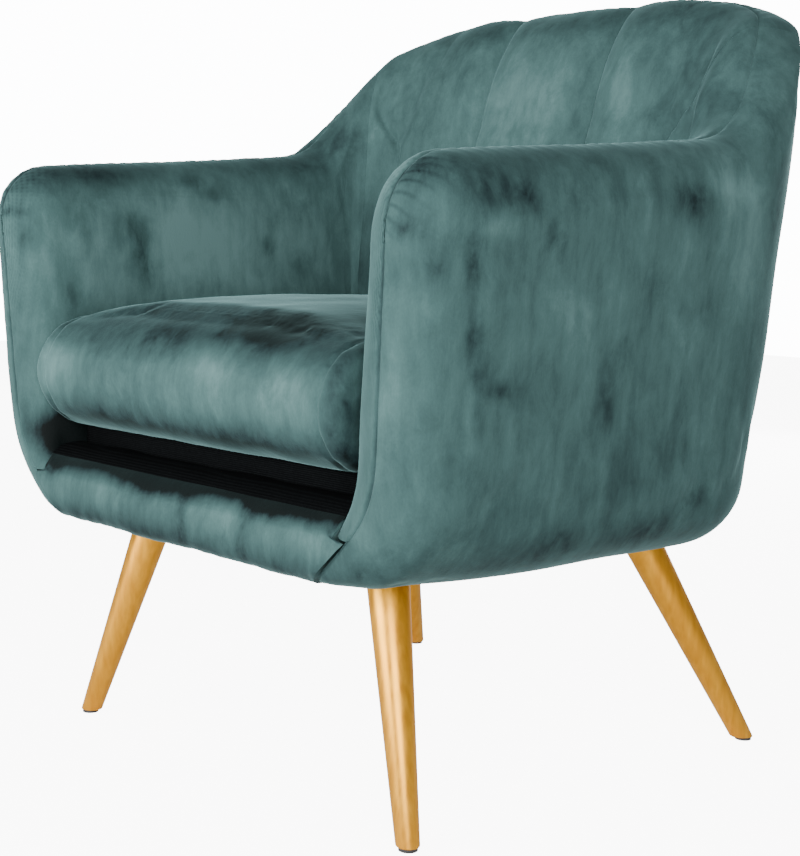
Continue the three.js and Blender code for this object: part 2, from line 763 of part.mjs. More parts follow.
// Woven seat straps stapled to the tops of the base rails
function buildSeatWebbing() {
  const restZ = railTop + gap + strapThickness / 2;
  const lengthwiseX = strapShares.map((share) => share * strapSpacing);
  const crosswiseY = strapShares.map((share) => seatMiddleY + share * strapSpacing);
  lengthwiseX.forEach((x, i) => {
    const frontEnd = frontRailFrontY + railThickness;
    const rearEnd = strapPoint(x, 0, railTop).y;
    const centres = [frontEnd - strapOverlap, frontEnd].map((y) => new THREE.Vector3(x, y, restZ));
    crosswiseY.forEach((y, j) => {
      const z = webHeight + strapLift * (-1) ** (i + j);
      centres.push(new THREE.Vector3(x, y - strapLevelHalf, z));
      centres.push(new THREE.Vector3(x, y + strapLevelHalf, z));
    });
    const restY = crosswiseY[crosswiseY.length - 1] + strapLevelHalf * 1.4;
    centres.push(new THREE.Vector3(x, restY, restZ), new THREE.Vector3(x, rearEnd, restZ));
    addPiece(`seat_webbing_lengthwise_${i + 1}`, strap(centres, new THREE.Vector3(1, 0, 0)), webbing);
  });
  crosswiseY.forEach((y, j) => {
    const centres = [new THREE.Vector3(-sideRailInnerX - strapOverlap, y, restZ)];
    centres.push(new THREE.Vector3(-sideRailInnerX, y, restZ));
    lengthwiseX.forEach((x, i) => {
      const z = webHeight - strapLift * (-1) ** (i + j);
      centres.push(new THREE.Vector3(x - strapLevelHalf, y, z));
      centres.push(new THREE.Vector3(x + strapLevelHalf, y, z));
    });
    centres.push(new THREE.Vector3(sideRailInnerX, y, restZ));
    centres.push(new THREE.Vector3(sideRailInnerX + strapOverlap, y, restZ));
    addPiece(`seat_webbing_crosswise_${j + 1}`, strap(centres, new THREE.Vector3(0, 1, 0)), webbing);
  });
}

// Plan outline from a straight front to rear points given for the sitter's left half
function planOutline(half, front, rear) {
  const left = rear.map(([x, y]) => new THREE.Vector2(x, y));
  const right = left.slice(0, -1).reverse().map((p) => new THREE.Vector2(-p.x, p.y));
  return [new THREE.Vector2(-half, front), new THREE.Vector2(half, front), ...left, ...right];
}

function buildDeck() {
  const outline = planOutline(deckHalf, deckFrontY, deckRear);
  addPiece('seat_deck_pad', prism(outline, deckBottom, deckTop - deckBottom), foam);
}

// Thin cover under the base with a round hole at each leg
function buildDustCover() {
  const outline = planOutline(dustHalfWidth, dustFrontY, dustRear);
  let cover = toSolid(prism(outline, dustBottom, dustThickness));
  for (const axis of [legAxis(false), legAxis(true)]) {
    for (const side of [-1, 1]) {
      const hole = new THREE.CylinderGeometry(dustHoleRadius, dustHoleRadius, legTopRadius, legRound);
      hole.rotateX(Math.PI / 2);
      hole.translate(axis.top.x * side, axis.top.y, dustBottom);
      cover = cover.subtract(toSolid(hole));
    }
  }
  addPiece('dust_cover', toGeometry(cover), lining);
}

// Cross-section of the seat cushion at a share of its half width, drawn in from its seams by the inset
function cushionRing(share, inset) {
  const side = Math.abs(share);
  const pastEdge = Math.max((side - cushionEdgeShare) / (1 - cushionEdgeShare), 0);
  const edge = 1 - Math.sqrt(Math.max(1 - pastEdge ** 2, 0));
  const shrink = inset + cushionEdgeRadius * edge;
  const bottom = cushionBottom + shrink;
  const top = cushionTop - shrink;
  const middle = (cushionBottom + cushionTop) / 2;
  const cornerIn = Math.max(side * cushionHalfWidth - cushionHalfWidth + cushionCornerRadius, 0);
  const cornerCut = cushionCornerRadius - Math.sqrt(cushionCornerRadius ** 2 - cornerIn ** 2);
  const rear = cushionRearY - inset - cornerCut;
  const front = cushionFrontY + inset + cushionEdgeRadius * edge;
  const noseY = front + cushionNoseRadius;
  const crownAt = (t) => cushionCrown * (1 - side ** 2) * (1 - (2 * t - 1) ** 4 * 0.5);
  const flat = [new THREE.Vector2(rear, bottom + cushionEdgeRadius)];
  for (const y of [rear - cushionEdgeRadius, mix(rear, noseY, 0.5), noseY]) {
    flat.push(new THREE.Vector2(y, bottom));
  }
  for (const turn of [0.12, 0.25, 0.38, 0.5, 0.62, 0.75, 0.88].map((part) => part * Math.PI)) {
    const lift = crownAt(0) * (1 - Math.cos(turn)) / 2;
    const z = middle - (middle - bottom) * Math.cos(turn) + lift;
    flat.push(new THREE.Vector2(noseY - cushionNoseRadius * Math.sin(turn), z));
  }
  for (const t of [0, 0.25, 0.5, 0.75]) {
    flat.push(new THREE.Vector2(mix(noseY, rear - cushionEdgeRadius, t), top + crownAt(t)));
  }
  const rearTop = top + crownAt(1);
  flat.push(new THREE.Vector2(rear - cushionEdgeRadius, rearTop));
  const zipEdge = zipSlotHalfHeight * 2;
  for (const z of [rearTop - cushionEdgeRadius, middle + zipEdge, middle - zipEdge]) {
    flat.push(new THREE.Vector2(rear, z));
  }
  return flat.map((p) => {
    const bulge = cushionBelly * (1 - ((p.y - middle) / (middle - cushionBottom)) ** 2);
    const height = (p.y - cushionBottom) / (cushionTop - cushionBottom);
    const forward = ease((noseY + cushionNoseRadius - p.x) / (cushionNoseRadius * 2));
    const spread = cushionSpread * height * forward;
    const half = cushionHalfWidth - inset + bulge + spread;
    return new THREE.Vector3(share * half, p.x, p.y);
  });
}

function cushionSolid(inset) {
  const rings = cushionShares.map((share) => cushionRing(share, inset));
  const flats = rings.map((ring) => ring.map((p) => new THREE.Vector2(p.y, p.z)));
  return toSolid(loft(rings, flats));
}

// Loose seat cushion with its foam core and the zip in its rear boxing
function buildCushion() {
  const middle = (cushionBottom + cushionTop) / 2;
  const slotHalf = zipHalfLength + gap;
  const slotLow = [-slotHalf, cushionRearY - coverThickness * 2, middle - zipSlotHalfHeight - gap];
  const slotHigh = [slotHalf, cushionRearY + coverThickness, middle + zipSlotHalfHeight + gap];
  const slot = toSolid(boxBetween(slotLow, slotHigh));
  const cover = cushionSolid(0).subtract(cushionSolid(coverThickness)).subtract(slot);
  addPiece('seat_cushion_cover', toGeometry(cover), velvet);
  addPiece('seat_cushion_foam', toGeometry(cushionSolid(coverThickness + gap)), foam);

  const tapeBack = cushionRearY - coverThickness / 2 + zipThickness / 2;
  const tapeLow = [-zipHalfLength, tapeBack - zipThickness, middle - zipSlotHalfHeight];
  const tape = toSolid(boxBetween(tapeLow, [zipHalfLength, tapeBack, middle + zipSlotHalfHeight]));
  const teethEnd = zipHalfLength - sliderLength / 2;
  const teethLow = [-teethEnd, tapeBack - zipThickness / 2, middle - zipTeethHalfHeight];
  const teethHigh = [teethEnd, tapeBack + zipTeethDepth, middle + zipTeethHalfHeight];
  const teeth = toSolid(boxBetween(teethLow, teethHigh));
  addPiece('cushion_zip_tape', toGeometry(tape.add(teeth)), zipper);

  const sliderX = teethEnd - sliderLength;
  const sliderY = tapeBack + zipTeethDepth + gap;
  const halfHeight = sliderHeight / 2;
  const sliderLow = [sliderX - sliderLength / 2, sliderY, middle - halfHeight];
  const sliderHigh = [sliderX + sliderLength / 2, sliderY + sliderDepth, middle + halfHeight];
  const body = toSolid(boxBetween(sliderLow, sliderHigh));
  const pullHalf = halfHeight / 2;
  const pullLow = [sliderX - pullHalf, sliderY + sliderDepth - gap, middle - pullLength];
  const pullHigh = [sliderX + pullHalf, sliderY + sliderDepth + pullThickness, middle + pullHalf];
  addPiece('cushion_zip_slider', toGeometry(body.add(toSolid(boxBetween(pullLow, pullHigh)))), steel);
}

// Stands the chair with the middle of its outline over the origin
function centreChair() {
  const middle = new THREE.Box3().setFromObject(chair).getCenter(new THREE.Vector3());
  for (const piece of chair.children) {
    piece.geometry.translate(-middle.x, -middle.y, 0);
  }
}

buildUpholstery();
buildFrontRailPad();
buildBase();
buildArmPanels();
buildBackFrame();
buildBackWebbing();
buildCorner('front', false);
buildCorner('rear', true);
buildSeatWebbing();
buildDeck();
buildDustCover();
buildCushion();
centreChair();

export default chair;
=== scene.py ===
from math import cos, exp, pi, radians, sin
import bmesh
import bpy
import numpy as np
from mathutils import Matrix, Vector, noise
from mathutils.bvhtree import BVHTree
from mathutils.kdtree import KDTree


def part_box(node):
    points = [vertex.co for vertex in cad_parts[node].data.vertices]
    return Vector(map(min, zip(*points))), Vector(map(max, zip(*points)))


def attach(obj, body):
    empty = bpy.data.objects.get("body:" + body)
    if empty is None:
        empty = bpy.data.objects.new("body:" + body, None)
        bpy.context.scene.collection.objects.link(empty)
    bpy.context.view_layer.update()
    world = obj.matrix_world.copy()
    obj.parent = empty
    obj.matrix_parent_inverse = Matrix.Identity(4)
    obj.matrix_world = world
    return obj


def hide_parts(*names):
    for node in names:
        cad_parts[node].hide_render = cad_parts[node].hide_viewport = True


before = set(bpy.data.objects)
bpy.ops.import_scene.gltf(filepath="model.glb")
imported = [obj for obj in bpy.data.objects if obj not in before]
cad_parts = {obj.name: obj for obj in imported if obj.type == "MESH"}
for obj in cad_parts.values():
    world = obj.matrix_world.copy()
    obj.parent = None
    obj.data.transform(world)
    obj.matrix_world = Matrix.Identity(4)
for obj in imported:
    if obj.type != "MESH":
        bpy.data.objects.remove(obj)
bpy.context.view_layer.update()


# Seat base and arm and back frame. Beech rails, glued and stapled into a box with a block in each
# corner, carry ply arm panels, two posts and two curved rails, all hidden under the upholstery.
def step(tree, kind, inputs=(), **settings):
    node = tree.nodes.new(kind)
    for key, value in settings.items():
        setattr(node, key, value)
    for key, value in dict(inputs).items():
        if isinstance(value, bpy.types.NodeSocket):
            tree.links.new(value, node.inputs[key])
        else:
            node.inputs[key].default_value = value
    return node


def ramp(tree, value, stops):
    node = step(tree, "ShaderNodeValToRGB", {"Fac": value})
    band = node.color_ramp
    while len(band.elements) < len(stops):
        band.elements.new(0.5)
    for element, (place, colour) in zip(band.elements, stops):
        element.position = place
        element.color = (*(colour if isinstance(colour, tuple) else (colour,) * 3), 1)
    return node.outputs["Color"]


def mottled(tree, place, scale, detail, **more):
    inputs = {"Vector": place, "Scale": scale, "Detail": detail, **more}
    return step(tree, "ShaderNodeTexNoise", inputs).outputs["Fac"]


def joined(tree, operation, first, second):
    return step(tree, "ShaderNodeMath", {0: first, 1: second}, operation=operation).outputs[0]


def effect(name, marks=()):
    group = bpy.data.node_groups.new(name, "ShaderNodeTree")
    group.interface.new_socket(name="Place", in_out="INPUT", socket_type="NodeSocketVector")
    for label in marks:
        group.interface.new_socket(name=label, in_out="INPUT", socket_type="NodeSocketFloat")
    for label in ("Tone", "Height"):
        group.interface.new_socket(name=label, in_out="OUTPUT", socket_type="NodeSocketFloat")
    given, out = group.nodes.new("NodeGroupInput").outputs, group.nodes.new("NodeGroupOutput").inputs
    return group, given, out


def new_finish(name):
    material = bpy.data.materials.new(name)
    material.use_nodes = True
    tree = material.node_tree
    return material, tree, tree.nodes["Principled BSDF"]


def placed(tree, group, scale, values=()):
    spot = step(tree, "ShaderNodeTexCoord").outputs["Object"]
    spot = step(tree, "ShaderNodeMapping", {"Vector": spot, "Scale": scale}).outputs["Vector"]
    return step(tree, "ShaderNodeGroup", {"Place": spot, **dict(values)}, node_tree=group).outputs


def bump(tree, shader, height, strength, distance):
    node = step(tree, "ShaderNodeBump", {"Height": height, "Strength": strength, "Distance": distance})
    tree.links.new(node.outputs["Normal"], shader.inputs["Normal"])


def finish(name, group, stretch, tones, roughs, strength, depth):
    material, tree, shader = new_finish(name)
    found = placed(tree, group, stretch)
    tree.links.new(ramp(tree, found["Tone"], tones), shader.inputs["Base Color"])
    tree.links.new(ramp(tree, found["Height"], roughs), shader.inputs["Roughness"])
    bump(tree, shader, found["Height"], strength, depth)
    return material, shader


def wear_finish(node, material):
    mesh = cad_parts[node].data
    mesh.materials.clear()
    mesh.materials.append(material)


grain, given, out = effect("Timber grain")
year_rings = mottled(grain, given["Place"], 22.0, 4.0, Distortion=0.8)
pores = mottled(grain, given["Place"], 190.0, 3.0)
grain.links.new(joined(grain, "MULTIPLY", year_rings, pores), out["Tone"])
grain.links.new(pores, out["Height"])


def timber(name, along, pale, dark):
    tones = [(0.14, dark), (0.25, pale), (0.4, dark)]
    return finish(name, grain, along, tones, [(0.3, 0.5), (0.7, 0.72)], 0.25, 0.0004)[0]


beech_pale, beech_dark = (0.56, 0.36, 0.2), (0.4, 0.23, 0.12)
beech_across = timber("Beech across", (0.08, 1, 1), beech_pale, beech_dark)
beech_deep = timber("Beech front to back", (1, 0.08, 1), beech_pale, beech_dark)
birch_ply = timber("Birch ply", (1, 0.12, 0.3), (0.66, 0.49, 0.31), (0.5, 0.34, 0.19))
for side in ("left", "right"):
    wear_finish(f"base_side_rail_{side}", beech_deep)
    wear_finish(f"arm_panel_{side}", birch_ply)
    wear_finish(f"back_post_{side}", birch_ply)
    for end in ("front", "rear"):
        wear_finish(f"corner_block_{end}_{side}", beech_deep)
for rail in ("base_front_rail", "base_rear_rail", "back_top_rail", "back_lower_rail"):
    wear_finish(rail, beech_across)


# Leg fixings. A pressed steel plate under each corner block, with the hanger bolt that the leg screws
# onto, both zinc plated, and a hard nylon glide nailed under each foot.
zinc, shader = finish("Zinc plate", grain, (1, 1, 1), [(0.12, (0.42, 0.43, 0.45)), (0.4, (0.6, 0.6, 0.58))],
                      [(0.3, 0.28), (0.7, 0.5)], 0.1, 0.0002)
shader.inputs["Metallic"].default_value = 1.0
nylon = finish("Nylon glide", grain, (1, 1, 1), [(0.12, (0.02, 0.02, 0.022)), (0.4, (0.05, 0.05, 0.052))],
               [(0.3, 0.45), (0.7, 0.65)], 0.15, 0.0002)[0]
for side in ("left", "right"):
    for end in ("front", "rear"):
        wear_finish(f"leg_plate_{end}_{side}", zinc)
        wear_finish(f"leg_bolt_{end}_{side}", zinc)
        wear_finish(f"glide_{end}_{side}", nylon)


# Webbing. Flat straps of woven elastic, stapled to the rails, four each way across the seat, over and
# under each other, and three upright ones across the back.
weave, given, out = effect("Strap weave")
yarns = [step(weave, "ShaderNodeTexWave", {"Vector": given["Place"], "Scale": 160.0, "Distortion": 0.6},
              bands_direction=way).outputs["Fac"] for way in ("X", "Y", "Z")]
crossed = joined(weave, "MAXIMUM", joined(weave, "MULTIPLY", yarns[0], yarns[1]), yarns[2])
fibres = mottled(weave, given["Place"], 420.0, 2.0)
weave.links.new(joined(weave, "MULTIPLY", crossed, fibres), out["Tone"])
weave.links.new(crossed, out["Height"])


def woven(name, dark, pale, depth):
    return finish(name, weave, (1, 1, 1), [(0.05, dark), (0.6, pale)], [(0.0, 0.95), (1.0, 0.75)], 0.5, depth)


strap_webbing = woven("Elastic webbing", (0.02, 0.02, 0.022), (0.11, 0.1, 0.095), 0.0006)[0]


def merged_copy(node):
    bm = bmesh.new()
    bm.from_mesh(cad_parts[node].data)
    bmesh.ops.remove_doubles(bm, verts=bm.verts, dist=1e-6)
    return bm


def piece_of(bm, name, material, smooth=True):
    mesh = bpy.data.meshes.new(name)
    bmesh.ops.recalc_face_normals(bm, faces=bm.faces)
    bm.to_mesh(mesh)
    bm.free()
    mesh.materials.append(material)
    mesh.polygons.foreach_set("use_smooth", [smooth] * len(mesh.polygons))
    piece = bpy.data.objects.new(name, mesh)
    bpy.context.scene.collection.objects.link(piece)
    return piece


def soften(bm, edges):
    bmesh.ops.bevel(bm, geom=edges, offset=0.0003, segments=2, profile=0.5, affect="EDGES", material=-1)


def strap_piece(node):
    bm = merged_copy(node)
    bmesh.ops.dissolve_limit(bm, angle_limit=radians(1), verts=bm.verts, edges=bm.edges)
    soften(bm, [edge for edge in bm.edges if edge.calc_face_angle(0) > radians(50)])
    piece = piece_of(bm, f"{node}_strap", strap_webbing, smooth=False)
    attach(piece, "chair")
    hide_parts(node)


for number in (1, 2, 3, 4):
    strap_piece(f"seat_webbing_lengthwise_{number}")
    strap_piece(f"seat_webbing_crosswise_{number}")
for place in ("left", "middle", "right"):
    strap_piece(f"back_webbing_{place}")


# Upholstery. Every pad is foam and wadding over the frame, under one cut of crushed velvet. The covers
# meet in plain seams along the middle of the wall, and the pull of the thread gathers the cloth there.
stuffing_grid, stuffing_frames, stuffing_pressure = 0.007, 20, 4.0


def stand_clear(points, own):
    walls = bmesh.new()
    for name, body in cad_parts.items():
        if name not in own:
            walls.from_mesh(body.data)
    tree = BVHTree.FromBMesh(walls)
    walls.free()
    return np.array([tree.find_nearest(point)[3] for point in points])


def points_of(mesh):
    flat = np.empty(len(mesh.vertices) * 3, dtype=np.float32)
    mesh.vertices.foreach_get("co", flat)
    return flat.reshape(-1, 3).astype(float)


def normals_of(mesh):
    flat = np.empty(len(mesh.vertices) * 3, dtype=np.float32)
    mesh.vertex_normals.foreach_get("vector", flat)
    return flat.reshape(-1, 3).astype(float)


def values_of(mesh, name):
    found = np.empty(len(mesh.vertices), dtype=np.float32)
    mesh.attributes[name].data.foreach_get("value", found)
    return found.astype(float)


def set_points(mesh, points):
    mesh.vertices.foreach_set("co", np.ascontiguousarray(points, dtype=np.float32).ravel())
    mesh.update()


def worked(piece):
    found = piece.evaluated_get(bpy.context.evaluated_depsgraph_get())
    mesh = bpy.data.meshes.new_from_object(found)
    piece.modifiers.clear()
    piece.data = mesh
    return mesh


def even_cloth(name, base, grid, passes):
    piece = bpy.data.objects.new(name, base.copy())
    bpy.context.scene.collection.objects.link(piece)
    sewn = piece.modifiers.new("Even cloth", "REMESH")
    sewn.mode = "VOXEL"
    sewn.voxel_size = grid
    mesh = worked(piece)
    bm = bmesh.new()
    bm.from_mesh(mesh)
    for turn in range(passes):
        bmesh.ops.smooth_vert(bm, verts=bm.verts, factor=0.5,
                              use_axis_x=True, use_axis_y=True, use_axis_z=True)
    bm.to_mesh(mesh)
    bm.free()
    return piece


def swelling(base, own, swell, slope):
    piece = even_cloth("stuffing", base, stuffing_grid, 3)
    start, facing = points_of(piece.data), normals_of(piece.data)
    room = np.minimum(stand_clear(start, own) * slope, swell)
    held = piece.vertex_groups.new(name="held")
    for index, share in enumerate(1 - room / swell):
        held.add([index], float(share) ** 2, "REPLACE")
    cloth = piece.modifiers.new("Stuffing", "CLOTH")
    cloth.settings.vertex_group_mass = "held"
    cloth.settings.use_pressure = True
    cloth.settings.uniform_pressure_force = stuffing_pressure
    cloth.settings.effector_weights.gravity = 0.0
    cloth.settings.quality = 4
    cloth.point_cache.frame_start = 1
    cloth.point_cache.frame_end = stuffing_frames
    for count in range(1, stuffing_frames + 1):
        bpy.context.scene.frame_set(count)
    way = points_of(worked(piece)) - start
    way -= facing * np.minimum((way * facing).sum(axis=1), 0)[:, None]  # outwards only
    bpy.context.scene.frame_set(1)
    bpy.data.objects.remove(piece)
    length = np.linalg.norm(way, axis=1)
    way *= (np.minimum(length, room) / np.maximum(length, 1e-9))[:, None]
    tree = KDTree(len(start))
    for index, point in enumerate(start):
        tree.insert(point, index)
    tree.balance()
    return tree, way


def carried(points, tree, way):
    moved = points.copy()
    for index, point in enumerate(points):
        near = tree.find_n(point, 4)
        shares = [1 / (distance + 1e-4) for spot, number, distance in near]
        pull = sum(way[number] * share for (spot, number, distance), share in zip(near, shares))
        moved[index] += pull / sum(shares)
    return moved


def rounded_mesh(bm, material):
    creases = bm.edges.layers.float.new("crease_edge")
    for edge in bm.edges:
        edge[creases] = 1.0 if edge.calc_face_angle(0) > radians(38) else 0.0
    blank = piece_of(bm, "blank", material)
    rounded = blank.modifiers.new("Rounded", "SUBSURF")
    rounded.levels = rounded.render_levels = 2
    base = worked(blank)
    bpy.data.objects.remove(blank)
    return base


def stuffed(base, name, own, swell, slope=0.2, grid=None, detail=None, free=None):
    if grid:
        piece = even_cloth(name, base, grid, 2)
    else:
        piece = bpy.data.objects.new(name, base)
        bpy.context.scene.collection.objects.link(piece)
    mesh = piece.data
    points = points_of(mesh)
    full = carried(points, *swelling(base, own, swell, slope))
    points += (full - points) * (free(mesh)[:, None] if free else 1)
    set_points(mesh, points)
    if detail:
        set_points(mesh, detail(mesh, points, normals_of(mesh)))
    mesh.polygons.foreach_set("use_smooth", [True] * len(mesh.polygons))
    mesh.set_sharp_from_angle(angle=radians(48))
    return piece


def block_copy(node, material, skin=0.0):
    bm = merged_copy(node)
    if skin:
        bm.normal_update()
        for vert in bm.verts:
            vert.co += vert.normal * skin * vert.calc_shell_factor()
    bmesh.ops.join_triangles(bm, faces=bm.faces, angle_face_threshold=radians(25),
                             angle_shape_threshold=radians(180))
    return rounded_mesh(bm, material)


def weighed(tree, value, factor, base):
    node = step(tree, "ShaderNodeMath", {0: value, 1: factor, 2: base}, operation="MULTIPLY_ADD")
    return node.outputs[0]


# Tone is the crushed pile's own pattern, plus the crush marks and a second input that also carries painted
# light and painted shade from each cover.
pile, given, out = effect("Crushed pile", ("Marks", "Shade and lay"))
clouds = mottled(pile, given["Place"], 6.5, 3.0, Distortion=0.25)
mottle = mottled(pile, given["Place"], 30.0, 8.0, Roughness=0.66, Distortion=0.35)
drawn = step(pile, "ShaderNodeMapping", {"Vector": given["Place"], "Scale": (1, 1, 0.3)}).outputs["Vector"]
strokes = mottled(pile, drawn, 70.0, 6.0, Roughness=0.6)
bruise = mottled(pile, given["Place"], 13.0, 9.0, Roughness=0.68, Distortion=0.5)
bruise = ramp(pile, bruise, [(0.6, 0.0), (0.7, 1.0)])
flecks = mottled(pile, given["Place"], 620.0, 2.0)
tone = weighed(pile, clouds, 0.55, -0.28)
for pattern, share in ((mottle, 0.62), (strokes, 0.34), (bruise, -0.12), (flecks, 0.1)):
    tone = weighed(pile, pattern, share, tone)
torn = mottled(pile, given["Place"], 46.0, 9.0, Roughness=0.62, Distortion=0.6)
ragged = weighed(pile, ramp(pile, torn, [(0.38, 0.0), (0.62, 1.0)]), 1.3, 0.1)
tone = joined(pile, "ADD", tone, joined(pile, "MULTIPLY", ragged, given["Marks"]))
pile.links.new(joined(pile, "ADD", tone, given["Shade and lay"]), out["Tone"])
pile.links.new(weighed(pile, flecks, 0.5, weighed(pile, mottle, 1.6, strokes)), out["Height"])

velvet, tree, shader = new_finish("Teal crushed velvet")
crushed = step(tree, "ShaderNodeAttribute", attribute_name="crush").outputs["Fac"]
# This attribute holds painted shade and painted light as well as the pile's own lay.
shaded_lay = step(tree, "ShaderNodeAttribute", attribute_name="shade_and_lay").outputs["Fac"]
found = placed(tree, pile, (1, 1, 0.6), {"Marks": crushed, "Shade and lay": shaded_lay})
# The near-black first stop is for the painted shade under the cushion and on the rail's top.
teals = [(0, (0.002, 0.004, 0.004)), (0.12, (0.010, 0.022, 0.024)), (0.42, (0.036, 0.076, 0.075)),
         (0.62, (0.058, 0.118, 0.115)), (0.95, (0.12, 0.22, 0.215))]
tree.links.new(ramp(tree, found["Tone"], teals), shader.inputs["Base Color"])
tree.links.new(ramp(tree, found["Tone"], [(0.2, 0.72), (0.8, 0.9)]), shader.inputs["Roughness"])
bump(tree, shader, found["Height"], 0.22, 0.0011)
shader.inputs["Specular IOR Level"].default_value = 0.1
shader.inputs["Sheen Weight"].default_value = 0.3
shader.inputs["Sheen Roughness"].default_value = 0.35
shader.inputs["Sheen Tint"].default_value = (0.45, 0.8, 0.8, 1)


# A mark is a soft spot at x, y, z, so wide and so tall. Some are patches of crushed pile, others are painted
# shade or painted light. A small dark one is torn up into ragged crush.
broad_mark, torn_lay, torn_crush = 0.05, 0.35, 0.5


def brushed_and_shaded(piece, marks, crest, shade_strokes_on):
    mesh = piece.data
    points, facing = points_of(mesh), normals_of(mesh)
    # crest darkens the surfaces that face upwards: painted shade on the tops.
    smooth, rough = crest * np.clip((facing[:, 2] - 0.3) / 0.5, 0, 1), np.zeros(len(points))
    for x, y, z, wide, tall, depth in marks:
        level = ((points[:, 0] - x) ** 2 + (points[:, 1] - y) ** 2) / wide ** 2
        spot = depth * np.exp(-level - ((points[:, 2] - z) / tall) ** 2)
        torn_up = depth <= 0 and wide <= broad_mark
        smooth += spot * torn_lay if torn_up else spot
        rough += spot * torn_crush if torn_up else 0
    if shade_strokes_on:
        shade_strokes_on(mesh, points, smooth)
    for name, values in (("crush", rough), ("shade_and_lay", smooth)):
        layer = mesh.attributes.new(name, "FLOAT", "POINT")
        layer.data.foreach_set("value", values.astype(np.float32))


def mirror_image(piece, name):
    bm = bmesh.new()
    bm.from_mesh(piece.data)
    bmesh.ops.scale(bm, vec=(-1, 1, 1), verts=bm.verts)
    bmesh.ops.recalc_face_normals(bm, faces=bm.faces)
    return piece_of(bm, name, piece.data.materials[0])


# marks and crest paint light and shade into the velvet, besides its crushed pile.
def upholstered(piece, node, body="chair", marks=(), crest=0.0, shade_strokes_on=None):
    brushed_and_shaded(piece, marks, crest, shade_strokes_on)
    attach(piece, body)
    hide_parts(node)


# The wall of arms and back, told on its middle surface, from the nose seam (0) over the bull nose (to 1)
# and the straight arm (to 2) round the corner; each place has its own crest, lean and thickness.
wall_x, wall_half, bottom, kink = 0.296, 0.048, 0.239, 0.43
nose_front, nose_depth, corner_start, corner_depth, corner_power = -0.3132, 0.057, 0.0823, 0.125, 3.9

# The crest rises along the arm, climbs over the wing and arches over the back. The last three are shares of
# the half turn from arm to arm: where the wing ends, how far the crown reaches, where the covers join.
arm_crest, crest_rise, wing_crest, back_crest, back_arch = 0.641, 0.083, 0.775, 0.81, 0.035
wing_share, crown_share, arm_joint = 0.24, 0.26, 0.22

# How far the wall leans out and forward, how its edges are rounded, and how thick the back's padding is.
arm_flare, back_flare, back_low_flare, nose_rake = 0.078, 0.17, 0.1, 0.051
arm_front_radius, arm_foot_round, back_foot_round, nose_foot_round = 0.058, 0.058, 0.064, 0.094
foot_tuck, back_pad, back_inner_roll, back_outer_roll = 0.016, 0.066, 0.15, 0.012

# The seam on the nose is straight above seam_bend and swings inwards below it.
seam_bend, outer_seam_round, inner_seam_round, lean_end = 0.355, 0.097, 0.106, 0.72

# The hidden side of the padding: its gaps to the frame and its levels, from the hem up. Up to nose_share the
# nose keeps a hidden side of its own.
slack_gap, frame_gap, cloth_skin, hem_slack = 0.0003, 0.0083, 0.0068, 0.0015
hem_level, hem_step, nose_foot, deck_line, frame_step = 0.2458, 0.2637, 0.286, 0.3028, 0.3205
frame_drop, lip_drop, nose_share = 0.0337, 0.0238, 0.44

# Runs are measured along this row of a cover's points, and a fall above hidden_fall is on the hidden side.
measured_row, hidden_fall = 12, 0.9


def mix(a, b, share):
    return a + (b - a) * share


def ease(value):
    t = min(max(value, 0), 1)
    return t * t * (3 - 2 * t)


def drawn_in(z, radius, level):
    drop = min(max(level - z, 0), radius)
    return radius - (radius * radius - drop * drop) ** 0.5


def seam_lean(z, radius):
    drop = max(seam_bend - z, 0)
    straight = radius * 0.5 ** 0.5
    if drop < straight:
        return radius - (radius * radius - drop * drop) ** 0.5
    return radius - straight + drop - straight


def arm_place(place):
    if place < 1:
        turn = place * pi / 2
        y, full = nose_front + nose_depth * (1 - cos(turn)), sin(turn)
    else:
        y, full = mix(nose_front + nose_depth, corner_start, place - 1), 1
    along = (y - nose_front) / (corner_start - nose_front)
    drop = min(max(arm_front_radius - (y - nose_front), 0), arm_front_radius)
    rounded = arm_front_radius - (arm_front_radius ** 2 - drop ** 2) ** 0.5
    return dict(x=wall_x, y=y, nx=1, ny=0, flare=arm_flare, low_flare=arm_flare, rake=nose_rake * (1 - along),
                full=full, lean=ease((lean_end - place) / 0.28),
                crest=arm_crest + crest_rise * (y - corner_start) - rounded,
                low_radius=mix(nose_foot_round, arm_foot_round, ease(along * 2)), outer_roll=wall_half,
                inner_pad=wall_half, inner_roll=wall_half, tuck=max(1 - (y - nose_front) / nose_depth, 0))


def corner_place(share):
    turn = share * pi
    c, s = cos(turn) ** (2 / corner_power), sin(turn) ** (2 / corner_power)
    nx, ny = c ** (corner_power - 1) / wall_x, s ** (corner_power - 1) / corner_depth
    length = (nx * nx + ny * ny) ** 0.5
    back = ease((share - 0.12) / 0.2)
    if share < wing_share:
        crest = mix(arm_crest, wing_crest, share / wing_share)
    else:
        crest = back_crest - back_arch * ((0.5 - share) / crown_share) ** 2.4
    return dict(x=wall_x * c, y=corner_start + corner_depth * s, nx=nx / length, ny=ny / length,
                flare=mix(arm_flare, back_flare, back),
                low_flare=mix(arm_flare, back_low_flare, ease(share / 0.14)),
                rake=0, full=1, lean=0, tuck=0, crest=crest,
                low_radius=mix(arm_foot_round, back_foot_round, ease(share / 0.2)),
                outer_roll=mix(wall_half, back_outer_roll, ease((share - 0.08) / 0.12)),
                inner_pad=mix(wall_half, back_pad, back), inner_roll=mix(wall_half, back_inner_roll, back))


def wall_place(place):
    if place < 2:
        return arm_place(place)
    share = (place - 2) * arm_joint
    if share <= 0.5:
        return corner_place(share)
    found = corner_place(1 - share)
    return {**found, "x": -found["x"], "nx": -found["nx"]}


